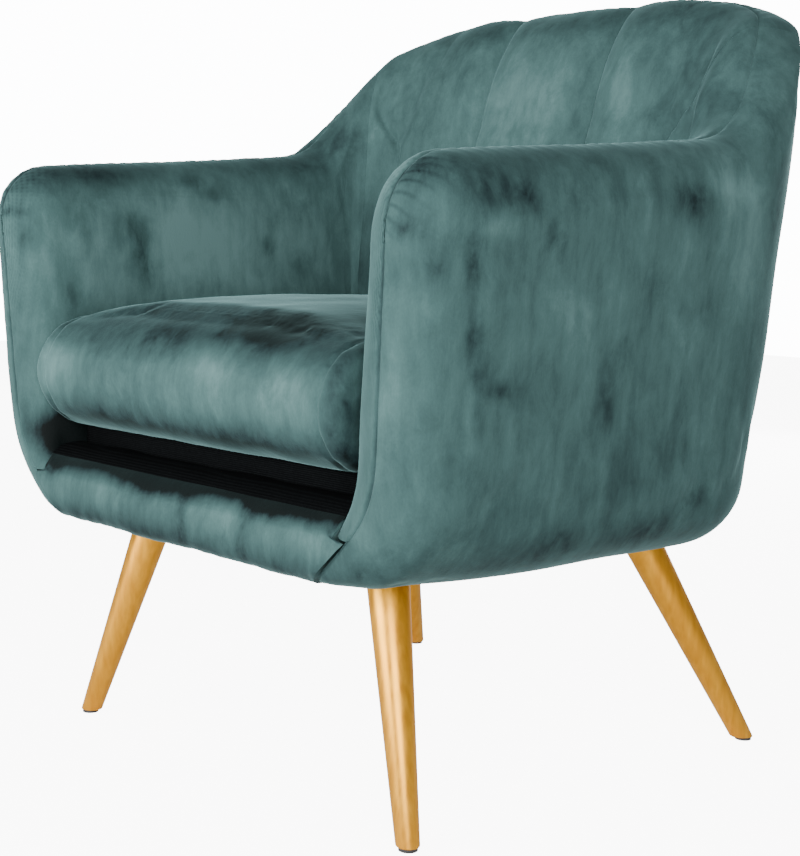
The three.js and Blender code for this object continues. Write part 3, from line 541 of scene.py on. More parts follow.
def wall_point(at, u, z):
    out = u + (at["low_flare"] if z < kink else at["flare"]) * (z - kink)
    tuck = drawn_in(z, foot_tuck, bottom + foot_tuck) * at["tuck"]
    return Vector((at["x"] + at["nx"] * out, at["y"] + at["ny"] * out - at["rake"] * (z - kink) + tuck, z))


def shares(count, first=0):
    return [number / count for number in range(first, count + 1)]


def outer_face(at, z):
    full = wall_half - drawn_in(z, at["low_radius"], bottom + at["low_radius"])
    return mix(-seam_lean(z, outer_seam_round) * at["lean"], full, at["full"])


def outside_ring(at):
    half, recess, low_top = wall_half * at["full"], frame_gap * at["full"], bottom + at["low_radius"]
    shown = [(mix(slack_gap / 2, half, sin(s * pi / 2)),
              at["crest"] - at["outer_roll"] * (1 - cos(s * pi / 2))) for s in shares(10)]
    shown += [(half, mix(at["crest"] - at["outer_roll"], kink, s)) for s in shares(10, 1)]
    shown += [(outer_face(at, z), z) for z in (mix(kink, low_top, s) for s in shares(5, 1))]
    shown += [(outer_face(at, z), z)
              for z in (low_top - at["low_radius"] * sin(s * pi / 2) for s in shares(10, 1))]
    inner = mix(wall_half - at["low_radius"] + hem_slack, -seam_lean(hem_level, outer_seam_round) + slack_gap,
                at["lean"])
    hidden = [(min(inner, outer_face(at, bottom) - slack_gap), hem_level)]
    low_steps = (bottom + cloth_skin * 1.1, bottom + cloth_skin * 2.2, hem_step)
    for z in (*low_steps, nose_foot, frame_step, seam_bend):
        seam = recess - seam_lean(z, outer_seam_round) * at["lean"]
        hidden.append((min(outer_face(at, z) - cloth_skin * at["full"], seam), z))
    hidden += [(recess, kink), (recess, at["crest"] - frame_drop), (slack_gap / 2, at["crest"] - lip_drop)]
    return shown, hidden


def inside_ring(at):
    recess = frame_gap * at["full"]

    def face(z):
        t = min(max((at["crest"] - z) / at["inner_roll"], 0), 1)
        pad = -at["inner_pad"] * at["full"] * (1 - (1 - t) ** 2) ** 0.5
        return pad - seam_lean(z, inner_seam_round) * at["lean"]

    foot = mix(deck_line, nose_foot, at["lean"])
    low = at["crest"] - at["inner_roll"]
    levels = [at["crest"] - at["inner_roll"] * (1 - cos(s * pi / 2)) for s in shares(14)]
    levels += [mix(low, kink, s) for s in shares(8, 1)] + [mix(kink, foot, s) for s in shares(8, 1)]
    shown = [(face(z) - slack_gap / 2, z) for z in levels]
    hidden = [(-recess - seam_lean(z, outer_seam_round) * at["lean"], z)
              for z in (foot, frame_step, seam_bend)]
    hidden += [(-recess, kink), (-recess, at["crest"] - frame_drop), (-slack_gap / 2, at["crest"] - lip_drop)]
    return shown, hidden


back_turns = [0.2208] + [np.arccos((x / wall_x) ** (corner_power / 2)) / pi
                         for x in (0.227, 0.216, 0.205, 0.148, 0.091, 0.08, 0.069, 0.04)] + [0.5]
rib_places = [0.18, 0.44, 0.72, 1, 1.34, 1.68, 2]
rib_places += [2 + s / arm_joint for s in (0.03, 0.06, 0.1, 0.14, 0.18, 0.22)]
rib_places += [2 + s / arm_joint for s in back_turns + [1 - s for s in back_turns[-2::-1]]]


def wrapped(rings, runs, falls, material):
    count, last = len(rings[0]), len(rings) - 1
    bm = bmesh.new()
    bmesh.ops.create_grid(bm, x_segments=count, y_segments=last, size=1)
    run, fall = bm.verts.layers.float.new("run"), bm.verts.layers.float.new("fall")
    for vert in bm.verts:
        i, j = round((vert.co.x + 1) / 2 * count) % count, round((vert.co.y + 1) / 2 * last)
        vert.co = rings[j][i]
        vert[run] = runs[j]
        vert[fall] = falls[j][i] if i < len(falls[j]) else 1.0
    bmesh.ops.remove_doubles(bm, verts=bm.verts, dist=1e-6)
    rim = [edge for edge in bm.edges if edge.is_boundary]
    caps = bmesh.ops.holes_fill(bm, edges=rim, sides=0)["faces"]
    bmesh.ops.triangulate(bm, faces=caps, ngon_method="EAR_CLIP")
    bmesh.ops.recalc_face_normals(bm, faces=bm.faces)
    return rounded_mesh(bm, material)


# The hidden side of a cover runs straight from rib to rib, as the back of the padding does.
def wall_sheet(ring_of, places, material):
    rings, falls = [], []
    for place in places:
        shown, hidden = ring_of(wall_place(place))
        ring = [wall_point(wall_place(place), u, z) for u, z in shown]
        falls.append([0.0])
        for a, b in zip(ring, ring[1:]):
            falls[-1].append(falls[-1][-1] + (b - a).length)
        near = max([0] + [k for k, rib in enumerate(rib_places[:-1]) if rib <= place])
        ribs = (place, place) if place < nose_share else rib_places[near:near + 2]
        share = 0 if place < nose_share else (place - ribs[0]) / (ribs[1] - ribs[0])
        ends = [[wall_point(wall_place(rib), u, z) for u, z in ring_of(wall_place(rib))[1]] for rib in ribs]
        ring += [a.lerp(b, share) for a, b in zip(*ends)]
        rings.append(ring)
    runs = [0.0]
    for a, b in zip(rings, rings[1:]):
        runs.append(runs[-1] + (b[measured_row] - a[measured_row]).length)
    return wrapped(rings, runs, falls, material)


# How far each point lies from the first end of its cover (run), from the crest (fall), from the nearest
# seam, and from the ends that run on into the next cover. The hidden side has a fall of 1.
def seam_reach(mesh, nose):
    runs, falls = values_of(mesh, "run"), values_of(mesh, "fall")
    seam = np.minimum(runs, falls) if nose else falls
    ends = (runs.max() - runs) if nose else np.minimum(runs.max() - runs, runs)
    return runs, falls, seam, ends


def freedom(nose):
    def free(mesh):
        runs, falls, seam, ends = seam_reach(mesh, nose)
        return np.where(falls < hidden_fall, np.clip(seam / 0.03, 0, 1) * np.clip(ends / 0.07, 0, 1), 0)
    return free


# Short puckers that slant off the seam, longer folds, an even ripple under the thread, a slow unevenness
# all over, and the groove of the seam itself, which sinks straight into the padding.
def gathers(nose):
    def detail(mesh, points, normals):
        moved = points.copy()
        for index, (run, fall, seam, end) in enumerate(zip(*seam_reach(mesh, nose))):
            if fall >= hidden_fall:
                if nose:
                    moved[index][1] += 0.004 * exp(-(run / 0.012) ** 2) * ease(points[index][2] * 30 - 9)
                continue
            along, spot = run - fall, Vector(points[index])
            fold = noise.noise(Vector((along * 90 + seam * 55, seam * 14, 3.1))) * 0.0017 * exp(-seam / 0.016)
            fold += noise.noise(Vector((along * 34, seam * 10, 7.7))) * 0.0022 * exp(-seam / 0.04)
            wave = sin(along * 390 + seam * 150 + spot.z * 20) * 0.0013
            fold += wave * exp(-seam / 0.011) * ease(spot.z * 12 - 4.6)
            fold *= 0.4 + 0.6 * exp(-run / 0.03) if nose else 0.4
            fold = fold * min(end / 0.05, 1) + noise.noise(spot * 9) * 0.0016
            fold *= 1 - exp(-(seam / 0.004) ** 2)
            high = arm_crest + crest_rise * (spot.y - corner_start) - arm_front_radius
            into = Vector((0, max(nose_front + arm_front_radius - spot.y, 0), min(high - spot.z, 0)))
            groove = (0.0007 + 0.0013 * ease(spot.z * 20 - 5.6)) * exp(-(seam / 0.0028) ** 2)
            moved[index] += normals[index] * fold + np.array(into.normalized()) * groove
        return moved
    return detail


# The seam's painted shade, and painted shade in slanting creases that the thread pulls into the nose.
def nose_seam_shade(slant, lowest):
    def shade_strokes_on(mesh, points, smooth):
        runs, falls, height = values_of(mesh, "run"), values_of(mesh, "fall"), points[:, 2]
        seam, front = np.minimum(runs, falls), np.clip((nose_front + 0.05 - points[:, 1]) / 0.02, 0, 1)
        smooth -= 0.24 * np.exp(-(seam / 0.0022) ** 2) * front * np.clip((height - 0.27) / 0.05, 0.1, 1)
        fold_shade = np.sin(runs * 690 + falls * slant + 2.4 * np.sin(height * 71))
        fold_shade = np.clip(fold_shade, 0, 1) ** 2 * (np.exp(-seam / 0.022) - np.exp(-seam / 0.003)) * front
        smooth -= 0.3 * fold_shade * np.clip((height - lowest) / 0.03, 0, 1)
    return shade_strokes_on


nose_places = [0.004, 0.03, 0.07, 0.12, 0.18, 0.25, 0.33, 0.42, 0.52, 0.63, 0.75, 0.87]
side_places = nose_places + [1 + s for s in shares(24)] + [2 + s for s in shares(16, 1)]
# Patches of crushed pile on each arm cover, and among them painted shade and painted light: darker towards
# the foot of the left outside cover, painted shade beside the gap under the cushion's front on the right
# inside cover, broad painted light on the left outside and the right inside, and a painted highlight at the
# top of the left inside nose.
arm_marks_light_and_shade = {
    "arm_outside_left": [
        (0.352, -0.262, 0.522, 0.010, 0.030, -0.5), (0.347, -0.256, 0.462, 0.010, 0.022, -0.35),
        (0.344, -0.248, 0.428, 0.012, 0.014, -0.35), (0.343, -0.222, 0.416, 0.020, 0.008, -0.35),
        (0.342, -0.246, 0.402, 0.006, 0.020, -0.3), (0.355, 0.014, 0.580, 0.026, 0.015, -0.5),
        (0.351, 0.160, 0.600, 0.020, 0.045, -0.45), (0.350, -0.033, 0.501, 0.018, 0.030, -0.2),
        (0.343, -0.087, 0.416, 0.012, 0.024, -0.35), (0.341, -0.076, 0.388, 0.010, 0.020, -0.3),
        (0.345, -0.062, 0.446, 0.012, 0.030, -0.2), (0.353, -0.252, 0.580, 0.030, 0.022, -0.4),
        (0.354, -0.205, 0.573, 0.020, 0.020, -0.35), (0.353, -0.175, 0.548, 0.008, 0.014, -0.3),
        (0.323, -0.313, 0.548, 0.020, 0.010, -0.3), (0.340, -0.295, 0.520, 0.014, 0.020, -0.2),
        (0.326, 0.014, 0.272, 0.030, 0.016, -0.3), (0.325, -0.119, 0.273, 0.030, 0.016, -0.3),
        (0.334, 0.071, 0.299, 0.020, 0.020, -0.25), (0.336, -0.033, 0.325, 0.035, 0.014, -0.15),
        (0.337, 0.021, 0.345, 0.030, 0.020, -0.15), (0.354, -0.235, 0.552, 0.045, 0.012, 0.18),
        (0.335, -0.290, 0.450, 0.030, 0.060, 0.05), (0.356, 0.064, 0.592, 0.035, 0.015, 0.2),
        (0.348, -0.14, 0.470, 0.050, 0.070, 0.1), (0.310, -0.320, 0.400, 0.030, 0.070, 0.04),
        (0.350, 0.10, 0.520, 0.030, 0.060, 0.12), (0.345, 0.0, 0.48, 0.25, 0.12, 0.07),
        (0.322, -0.298, 0.598, 0.022, 0.014, -0.3), (0.310, 0.0, 0.232, 0.40, 0.046, -0.42)],
    "arm_inside_right": [
        (-0.257, -0.190, 0.544, 0.022, 0.022, -0.35), (-0.255, -0.176, 0.522, 0.014, 0.026, -0.45),
        (-0.253, -0.167, 0.498, 0.010, 0.022, -0.4), (-0.256, -0.239, 0.532, 0.010, 0.040, -0.2),
        (-0.268, -0.093, 0.602, 0.014, 0.008, -0.4), (-0.262, -0.072, 0.590, 0.014, 0.010, -0.3),
        (-0.255, 0.004, 0.527, 0.010, 0.012, -0.4), (-0.254, 0.052, 0.504, 0.022, 0.020, -0.25),
        (-0.292, -0.313, 0.561, 0.016, 0.006, -0.35), (-0.276, -0.307, 0.532, 0.012, 0.012, -0.25),
        (-0.252, -0.262, 0.467, 0.010, 0.025, -0.3), (-0.252, -0.085, 0.481, 0.030, 0.012, -0.2),
        (-0.277, -0.212, 0.604, 0.060, 0.016, -0.3), (-0.257, -0.118, 0.546, 0.040, 0.025, 0.1),
        (-0.280, 0.140, 0.655, 0.030, 0.030, -0.3), (-0.255, -0.05, 0.520, 0.25, 0.07, 0.36),
        (-0.222, -0.285, 0.326, 0.051, 0.026, -0.85), (-0.235, -0.235, 0.322, 0.051, 0.022, -0.9)],
    "arm_inside_left": [
        (0.256, 0.150, 0.672, 0.030, 0.025, -0.12), (0.297, -0.300, 0.605, 0.035, 0.030, 0.3)],
    "arm_outside_right": [(-0.352, -0.20, 0.50, 0.02, 0.04, -0.35), (-0.345, 0.02, 0.43, 0.03, 0.02, -0.3)],
}
# The third item of each row paints shade along the nose seam and its creases.
for face, ring_of, creases in (("outside", outside_ring, nose_seam_shade(-430, 0.53)),
                               ("inside", inside_ring, nose_seam_shade(430, 0.44))):
    sheet = wall_sheet(ring_of, side_places, velvet)
    own = [f"{part}_{face}_pad{hand}" for part, hand in (("arm", "_left"), ("back", ""))]
    cover = stuffed(sheet, f"arm_{face}_cover_left", own, 0.004, detail=gathers(True), free=freedom(True))
    other = mirror_image(cover, f"arm_{face}_cover_right")
    upholstered(cover, f"arm_{face}_pad_left", marks=arm_marks_light_and_shade[f"arm_{face}_left"], crest=-0.04,
                shade_strokes_on=creases)
    upholstered(other, f"arm_{face}_pad_right", marks=arm_marks_light_and_shade[f"arm_{face}_right"], crest=-0.14,
                shade_strokes_on=creases)


# Back padding. The outside is one flat cut; the inside is sewn into channels by two long seams, with a
# curved seam at each side where it turns into the wing, and the cloth puckers along that seam.
# Each long seam is a broad valley with a thin line of thread in it, and each channel swells between them.
channel_seam = 0.084


def channelled(mesh, points, normals):
    moved = gathers(False)(mesh, points, normals)
    for index, (fall, end) in enumerate(zip(values_of(mesh, "fall"), seam_reach(mesh, False)[3])):
        if fall >= hidden_fall:
            continue
        x, y, z = points[index]
        side, seam = abs(x), channel_seam
        edge = 0.2 + 0.045 * ease((z - 0.64) / 0.075)
        fade = ease(fall / 0.06) * 0.75 + 0.25
        edge_fade = ease((0.765 - z) / 0.05) * ease((z - 0.44) / 0.12) * min(end / 0.02, 1)
        fold = -0.0085 * exp(-abs(side - seam) / 0.012) * fade - 0.0022 * exp(-((side - seam) / 0.003) ** 2)
        fold -= 0.0055 * exp(-((side - edge) / 0.0055) ** 2) * edge_fade
        near_edge = exp(-abs(side - edge) / 0.018)
        fold += noise.noise(Vector((z * 80 + side * 36, side * 12, 5.2))) * 0.0034 * near_edge * edge_fade
        ridge = 0.172 + 0.17 * max(0.753 - z, 0)
        rise = 0.0034 * exp(-((side - ridge) / 0.009) ** 2)
        fold += (rise - 0.0026 * exp(-((side - ridge - 0.017) / 0.01) ** 2)) * edge_fade
        if side < seam:
            puff = 1 - (side / seam) ** 2
        elif side < ridge:
            puff = 1 - (2 * (side - seam) / (ridge - seam) - 1) ** 2
        else:
            puff = 0
        fold += 0.0065 * puff * fade
        moved[index] += normals[index] * fold
    return moved


# Patches of crushed pile on the inside back, with broad painted light over its middle and painted shade along
# its top roll.
back_marks_light_and_shade = [(-0.154, 0.208, 0.745, 0.070, 0.050, -0.12), (-0.014, 0.192, 0.700, 0.060, 0.040, 0.12),
              (0.139, 0.190, 0.706, 0.035, 0.050, 0.16), (0.225, 0.205, 0.700, 0.030, 0.060, -0.12),
              (0.0, 0.23, 0.790, 0.20, 0.014, -0.16), (-0.1, 0.2, 0.68, 0.01, 0.08, -0.2),
              (0.068, 0.2, 0.71, 0.012, 0.07, -0.2), (-0.08, 0.2, 0.690, 0.22, 0.11, 0.13)]
own = ["back_outside_pad", "arm_outside_pad_left", "arm_outside_pad_right"]
back_places = [2 + mix(0.2202, 0.7798, s) / arm_joint for s in shares(64)]
cover = stuffed(wall_sheet(outside_ring, back_places, velvet), "back_outside_cover", own, 0.004,
                detail=gathers(False), free=freedom(False))
upholstered(cover, "back_outside_pad", crest=-0.1)
own = ["back_inside_pad", "arm_inside_pad_left", "arm_inside_pad_right"]
cover = stuffed(wall_sheet(inside_ring, back_places, velvet), "back_inside_cover", own, 0.005,
                detail=channelled, free=freedom(False))
upholstered(cover, "back_inside_pad", marks=back_marks_light_and_shade, crest=-0.1)


# Front rail padding. A thick roll of wadding over the front rail; its cover is sewn to the noses at both
# ends, along their inner faces, and to black decking cloth along the top, and is stapled under the rail. That
# decking is made near-black as painted shade in the gap under the cushion.
rail_front, rail_back, rail_top, rail_foot_round, rail_top_round = -0.3097, -0.2567, 0.314, 0.018, 0.044
rail_shelf, rail_wood, rail_half = 0.303, -0.277, 0.2297


def rail_end(y, z):
    at = wall_place(np.arccos(1 - min(max(y - nose_front, 0) / nose_depth, 1)) / (pi / 2))
    foot = wall_point(wall_place(0), -seam_lean(z, outer_seam_round) - slack_gap, z).x
    nose = -wall_half * at["full"] - seam_lean(z, inner_seam_round) * at["lean"] - slack_gap * 2
    return mix(foot, wall_point(at, nose, z).x, ease((z - 0.2832) / 0.003))


shown = [(mix(rail_back, rail_front + rail_foot_round, s), bottom) for s in shares(4)]
shown += [(rail_front + rail_foot_round * (1 - sin(s * pi / 2)),
           bottom + rail_foot_round * (1 - cos(s * pi / 2))) for s in shares(6, 1)]
shown += [(rail_front, mix(bottom + rail_foot_round, rail_top - rail_top_round, s)) for s in shares(3, 1)]
shown += [(rail_front + rail_top_round * (1 - (1 - ((z - rail_top) / rail_top_round + 1) ** 2) ** 0.5), z)
          for z in (0.2765, 0.2805, 0.283, 0.2848, 0.2865, 0.290, 0.2955, 0.302, 0.3075, 0.3115, 0.3134,
                    rail_top)]
shown += [(rail_back, rail_top)]
hidden = [(rail_back, rail_shelf), (rail_wood, rail_shelf), (rail_wood, hem_level), (rail_back, hem_level)]
across = [sin(mix(-0.5, 0.5, t) * pi) for t in shares(36)]
rings = [[Vector((s * rail_end(y, z), y, z)) for y, z in shown]
         + [Vector((s * min(rail_half, rail_end(y, z)), y, z)) for y, z in hidden] for s in across]
falls = [[abs(y - rail_front) + abs(z - rail_top) if z < rail_top else 0.1 for y, z in shown] for s in across]
rail_sheet = wrapped(rings, [0.23 * (1 - abs(s)) for s in across], falls, velvet)
# The near-black decking is painted shade: real black cloth, made darker to stand for the shade under the
# cushion's overhang.
decking_and_shade, shader = woven("Black decking cloth darkened as shade", (0.0005, 0.0007, 0.001), (0.004, 0.005, 0.0055), 0.0004)
shader.inputs["Specular IOR Level"].default_value = 0.05
rail_sheet.materials.append(decking_and_shade)
for face in rail_sheet.polygons:
    face.material_index = 1 if face.center.z > rail_shelf + 0.0005 else 0


def rail_folds(mesh, points, normals):
    moved = points.copy()
    for index, (run, fall) in enumerate(zip(values_of(mesh, "run"), values_of(mesh, "fall"))):
        if fall >= hidden_fall:
            continue
        x, y, z = points[index]
        fold = noise.noise(Vector((x * 60, z * 30, 2.2))) * 0.0009 * exp(-abs(z - bottom) / 0.02)
        fold += noise.noise(Vector((z * 90 + x * 30, y * 30, 4.4))) * 0.0022 * exp(-run / 0.02)
        fold += noise.noise(Vector((x, y, z)) * 14) * 0.002
        moved[index] += normals[index] * fold * min(run / 0.006, 1)
    return moved


def rail_free(mesh):
    return np.where(values_of(mesh, "fall") < hidden_fall, np.clip(values_of(mesh, "run") / 0.03, 0, 1), 0)


# Painted shade on the rail: near-black along its top under the cushion's overhang, ragged dark patches along
# the top edge and darker towards its foot; with lighter patches and thin dark streaks on the front face.
rail_marks_and_shade = [(-0.033, -0.297, 0.302, 0.035, 0.016, -0.45), (0.141, -0.298, 0.302, 0.035, 0.014, -0.45),
              (-0.224, -0.299, 0.298, 0.030, 0.020, -0.45), (0.081, -0.303, 0.290, 0.035, 0.022, 0.2),
              (-0.123, -0.306, 0.287, 0.040, 0.016, 0.15), (0.201, -0.307, 0.283, 0.045, 0.018, 0.2),
              (0.0, -0.290, 0.312, 0.60, 0.014, -0.8), (0.0, -0.309, 0.240, 0.60, 0.020, -0.42),
              (0.02, -0.309, 0.275, 0.012, 0.025, -0.3), (0.115, -0.309, 0.275, 0.008, 0.03, -0.25)]
cover = stuffed(rail_sheet, "front_rail_cover", ("front_rail_pad",), 0.004, detail=rail_folds, free=rail_free)
upholstered(cover, "front_rail_pad", marks=rail_marks_and_shade, crest=-0.45)


# Seat pad. A foam and felt pad on the webbing, under plain black decking cloth, hidden by the cushion; the
# cloth is near-black as painted shade in the gap under the cushion.
deck = stuffed(block_copy("seat_deck_pad", decking_and_shade), "seat_deck_cover", ("seat_deck_pad",), 0.003)
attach(deck, "chair")
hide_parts("seat_deck_pad")


# Dust cover. A sheet of thin black lining, cut to the base with a hole for each leg and stapled under
# the rails; it sags a little between them.
lining = woven("Black lining", (0.006, 0.006, 0.007), (0.03, 0.03, 0.032), 0.0002)[0]
lining_grid, lining_sag = 0.024, 0.0035
bm = merged_copy("dust_cover")
for level in range(-9, 10):
    for way in ((1, 0, 0), (0, 1, 0)):
        every = bm.verts[:] + bm.edges[:] + bm.faces[:]
        cut = level * lining_grid
        bmesh.ops.bisect_plane(bm, geom=every, plane_co=(cut, cut, 0), plane_no=way)
lining_area = sum(face.calc_area() for face in bm.faces if face.normal.z < -0.9)
low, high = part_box("dust_cover")
for vert in bm.verts:
    along, deep = [(vert.co[axis] - low[axis]) / (high[axis] - low[axis]) for axis in (0, 1)]
    vert.co.z -= lining_sag * (sin(pi * along) * sin(pi * deep)) ** 0.8
lining_piece = piece_of(bm, "dust_cover_lining", lining, smooth=False)
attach(lining_piece, "chair")
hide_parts("dust_cover")


# Seat cushion. A loose foam block in a velvet cover with boxed sides and a rolled front edge; it lies
# on the seat pad between the arms. The boxing is sewn on round both ends and has a zip at the rear.
sponge, tree, shader = new_finish("Cushion foam")
spot = step(tree, "ShaderNodeTexCoord").outputs["Object"]
cells = step(tree, "ShaderNodeTexVoronoi", {"Vector": spot, "Scale": 420.0}).outputs["Distance"]
yellows = [(0.1, (0.5, 0.41, 0.22)), (0.6, (0.8, 0.72, 0.47))]
tree.links.new(ramp(tree, cells, yellows), shader.inputs["Base Color"])
tree.links.new(ramp(tree, cells, [(0.1, 0.98), (0.6, 0.88)]), shader.inputs["Roughness"])
bump(tree, shader, cells, 0.5, 0.0008)
cushion_parts = ("seat_cushion_cover", "seat_cushion_foam", "cushion_zip_tape", "cushion_zip_slider")
core = stuffed(block_copy("seat_cushion_foam", sponge), "seat_cushion_core", cushion_parts, 0.001)
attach(core, "cushion")
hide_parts("seat_cushion_foam")

boxing_seam = 0.2225


def boxed(mesh, points, normals):
    moved = points.copy()
    for index, (x, y, z) in enumerate(points):
        seam = abs(abs(x) - boxing_seam)
        fold = noise.noise(Vector((x, y, z)) * 8) * 0.002 - 0.0026 * exp(-(seam / 0.0032) ** 2)
        fold += noise.noise(Vector((y * 70, z * 70, seam * 20))) * 0.0016 * exp(-seam / 0.014)
        fold += noise.noise(Vector((x * 26, y * 26, z * 26))) * 0.0008
        moved[index] += normals[index] * fold
    return moved


# Painted light and shade on the cushion: painted highlights on the front, painted shade over the top and
# beside the boxing seam at the left end, and near-black painted shade along the bottom of the front, where it
# overhangs the rail.
cushion_light_and_shade_marks = [(-0.196, -0.312, 0.405, 0.045, 0.030, 0.2), (0.058, -0.307, 0.425, 0.040, 0.018, 0.22),
                 (0.164, -0.313, 0.402, 0.050, 0.045, 0.2), (0.242, -0.303, 0.404, 0.020, 0.050, -0.3),
                 (0.109, -0.270, 0.455, 0.060, 0.020, -0.3), (-0.024, -0.295, 0.440, 0.035, 0.020, -0.3),
                 (0.108, -0.180, 0.462, 0.110, 0.030, -0.2), (-0.05, -0.10, 0.465, 0.150, 0.030, -0.15),
                 (0.0, -0.295, 0.334, 0.60, 0.030, -0.8)]
cushion_sheet = block_copy("seat_cushion_foam", velvet, 0.0055)
cushion_cover = stuffed(cushion_sheet, "seat_cushion_skin", cushion_parts, 0.012, slope=0.45, grid=0.003,
                        detail=boxed)
upholstered(cushion_cover, "seat_cushion_cover", "cushion", marks=cushion_light_and_shade_marks, crest=-0.3)


# Zip. A woven tape along the rear boxing with moulded teeth, and a small plated slider with its pull.
tape_cloth = woven("Zip tape", (0.01, 0.02, 0.021), (0.03, 0.055, 0.056), 0.0003)[0]
tape_thickness, tooth_step, tooth_width, first_tooth, end_tooth = 0.0011, 0.0026, 0.0011, -68, 58
low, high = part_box("cushion_zip_tape")
zip_middle = (low[2] + high[2]) / 2
bm = bmesh.new()
bmesh.ops.create_cube(bm, size=1)
bmesh.ops.scale(bm, vec=(high[0] - low[0], tape_thickness, high[2] - low[2]), verts=bm.verts)
bmesh.ops.translate(bm, vec=(0, low[1] + 0.0009, zip_middle), verts=bm.verts)
soften(bm, bm.edges[:])
tape = piece_of(bm, "zip_tape_cloth", tape_cloth, smooth=False)
teeth_nylon = finish("Zip teeth", grain, (1, 1, 1), [(0.12, (0.015, 0.03, 0.031)), (0.4, (0.04, 0.07, 0.07))],
                     [(0.3, 0.35), (0.7, 0.5)], 0.1, 0.0001)[0]
bm = bmesh.new()
for number in range(first_tooth, end_tooth):
    for way in (1, -1):
        tooth = bmesh.ops.create_cube(bm, size=1)["verts"]
        bmesh.ops.scale(bm, vec=(tooth_width, tooth_width, 0.0032), verts=tooth)
        place = (number * tooth_step + way * 0.00065, high[1] - 0.0006, zip_middle + way * 0.0011)
        bmesh.ops.translate(bm, vec=place, verts=tooth)
teeth = piece_of(bm, "zip_teeth_row", teeth_nylon, smooth=False)
for piece in (tape, teeth):
    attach(piece, "cushion")
    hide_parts("cushion_zip_tape")
bm = merged_copy("cushion_zip_slider")
bmesh.ops.dissolve_limit(bm, angle_limit=radians(1), verts=bm.verts, edges=bm.edges)
soften(bm, bm.edges[:])
slider = piece_of(bm, "zip_slider_body", zinc, smooth=False)
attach(slider, "zip_slider")
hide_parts("cushion_zip_slider")


# Legs. Four turned beech cones, splayed outwards, lacquered in satin gold, each on a steel plate and
# bolt under its corner block.
golds = [(0.12, (0.72, 0.3, 0.014)), (0.4, (0.92, 0.44, 0.03))]
gold_lacquer, shader = finish("Satin gold lacquer", grain, (1, 1, 0.15), golds, [(0.3, 0.3), (0.7, 0.42)],
                              0.06, 0.0003)
shader.inputs["Metallic"].default_value = 0.75

foot_x, top_x = 0.262, 0.184
foot_radius, top_radius, leg_bottom, leg_top, rim_round = 0.011, 0.021, 0.0033, 0.2437, 0.0012


def turned_leg(name, side, foot_y, top_y):
    foot = Vector((side * foot_x, foot_y, 0))
    top = Vector((side * top_x, top_y, leg_top))
    axis = top - foot
    spare = 0.1
    slope = (top_radius - foot_radius) / axis.length
    bm = bmesh.new()
    bmesh.ops.create_cone(bm, cap_ends=True, segments=72, radius1=foot_radius - slope * spare,
                          radius2=top_radius + slope * spare, depth=axis.length + 2 * spare)
    turn = Vector((0, 0, 1)).rotation_difference(axis).to_matrix().to_4x4()
    bmesh.ops.transform(bm, matrix=Matrix.Translation((foot + top) / 2) @ turn, verts=bm.verts)
    for level, way in ((leg_bottom, -1), (leg_top, 1)):
        every = bm.verts[:] + bm.edges[:] + bm.faces[:]
        cut = bmesh.ops.bisect_plane(bm, geom=every, plane_co=(0, 0, level), plane_no=(0, 0, way),
                                     clear_outer=True)
        rim = [part for part in cut["geom_cut"] if isinstance(part, bmesh.types.BMEdge)]
        bmesh.ops.holes_fill(bm, edges=rim, sides=0)
        bmesh.ops.bevel(bm, geom=rim, offset=rim_round, segments=3, profile=0.5, affect="EDGES", material=-1)
    piece = piece_of(bm, f"{name}_turned", gold_lacquer)
    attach(piece, "chair")
    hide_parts(name)


for side, word in ((1, "left"), (-1, "right")):
    turned_leg(f"leg_front_{word}", side, -0.2312, -0.1932)
    turned_leg(f"leg_rear_{word}", side, 0.2808, 0.1668)


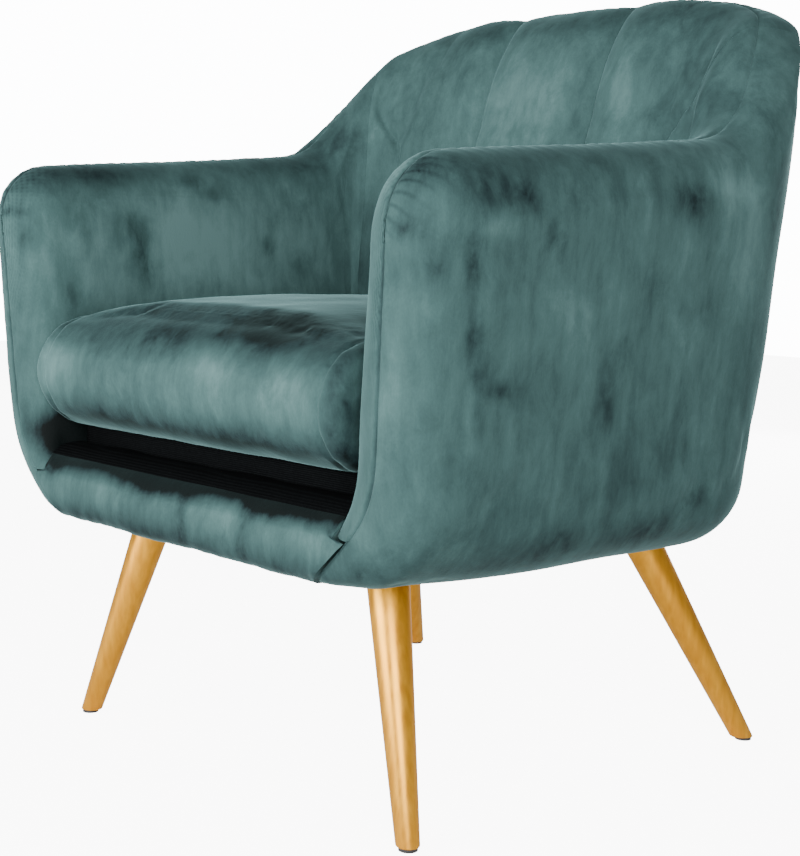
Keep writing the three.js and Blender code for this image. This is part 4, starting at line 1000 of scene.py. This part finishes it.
# The stand-in floor and the light of a plain studio: one broad light in front of the chair, a weaker
# one at its side and one behind it, and the camera at the photograph's place.
bm = bmesh.new()
bmesh.ops.create_grid(bm, x_segments=2, y_segments=2, size=6)
floor_paint, tree, shader = new_finish("Pale floor")
speckle = step(tree, "ShaderNodeTexNoise", {"Scale": 40.0, "Detail": 4.0}).outputs["Fac"]
greys = [(0.3, (0.86, 0.86, 0.85)), (0.7, (0.9, 0.9, 0.9))]
tree.links.new(ramp(tree, speckle, greys), shader.inputs["Base Color"])
shader.inputs["Roughness"].default_value = 0.8
seen = step(tree, "ShaderNodeLightPath").outputs["Is Camera Ray"]
tree.links.new(weighed(tree, seen, 9.0, 0.0), shader.inputs["Emission Strength"])
shader.inputs["Emission Color"].default_value = (1, 1, 1, 1)
piece_of(bm, "floor", floor_paint)


def soft_light(name, place, aim, width, height, power):
    light = bpy.data.lights.new(name, "AREA")
    light.shape = "RECTANGLE"
    light.size, light.size_y, light.energy = width, height, power
    lamp = bpy.data.objects.new(name, light)
    way = (Vector(aim) - Vector(place)).to_track_quat("-Z", "Y").to_matrix().to_4x4()
    lamp.matrix_world = Matrix.Translation(place) @ way
    bpy.context.scene.collection.objects.link(lamp)


soft_light("front_window", (-0.6, -3.0, 0.9), (0, 0, 0.45), 2.2, 1.2, 112)
soft_light("side_window", (2.2, -2.0, 0.95), (-0.1, 0, 0.5), 1.6, 1.2, 78)
soft_light("rear_window", (-1.3, 2.9, 1.0), (0, 0.2, 0.45), 2.4, 1.4, 60)
world = bpy.data.worlds.new("studio")
world.use_nodes = True
sky = world.node_tree.nodes["Background"]
sky.inputs["Color"].default_value = (0.97, 0.985, 1, 1)
seen = step(world.node_tree, "ShaderNodeLightPath").outputs["Is Camera Ray"]
world.node_tree.links.new(weighed(world.node_tree, seen, 14.0, 0.3), sky.inputs["Strength"])
bpy.context.scene.world = world

lens = bpy.data.cameras.new("camera")
lens.lens, lens.sensor_width = 65.552, 36
lens.shift_x, lens.shift_y = 0.04241, -0.01033
camera = bpy.data.objects.new("camera", lens)
camera.location = (1.22129, -1.16209, 0.53372)
camera.rotation_euler = (radians(83.6258), radians(-1.3173), radians(48.0789))
bpy.context.scene.collection.objects.link(camera)
bpy.context.scene.camera = camera
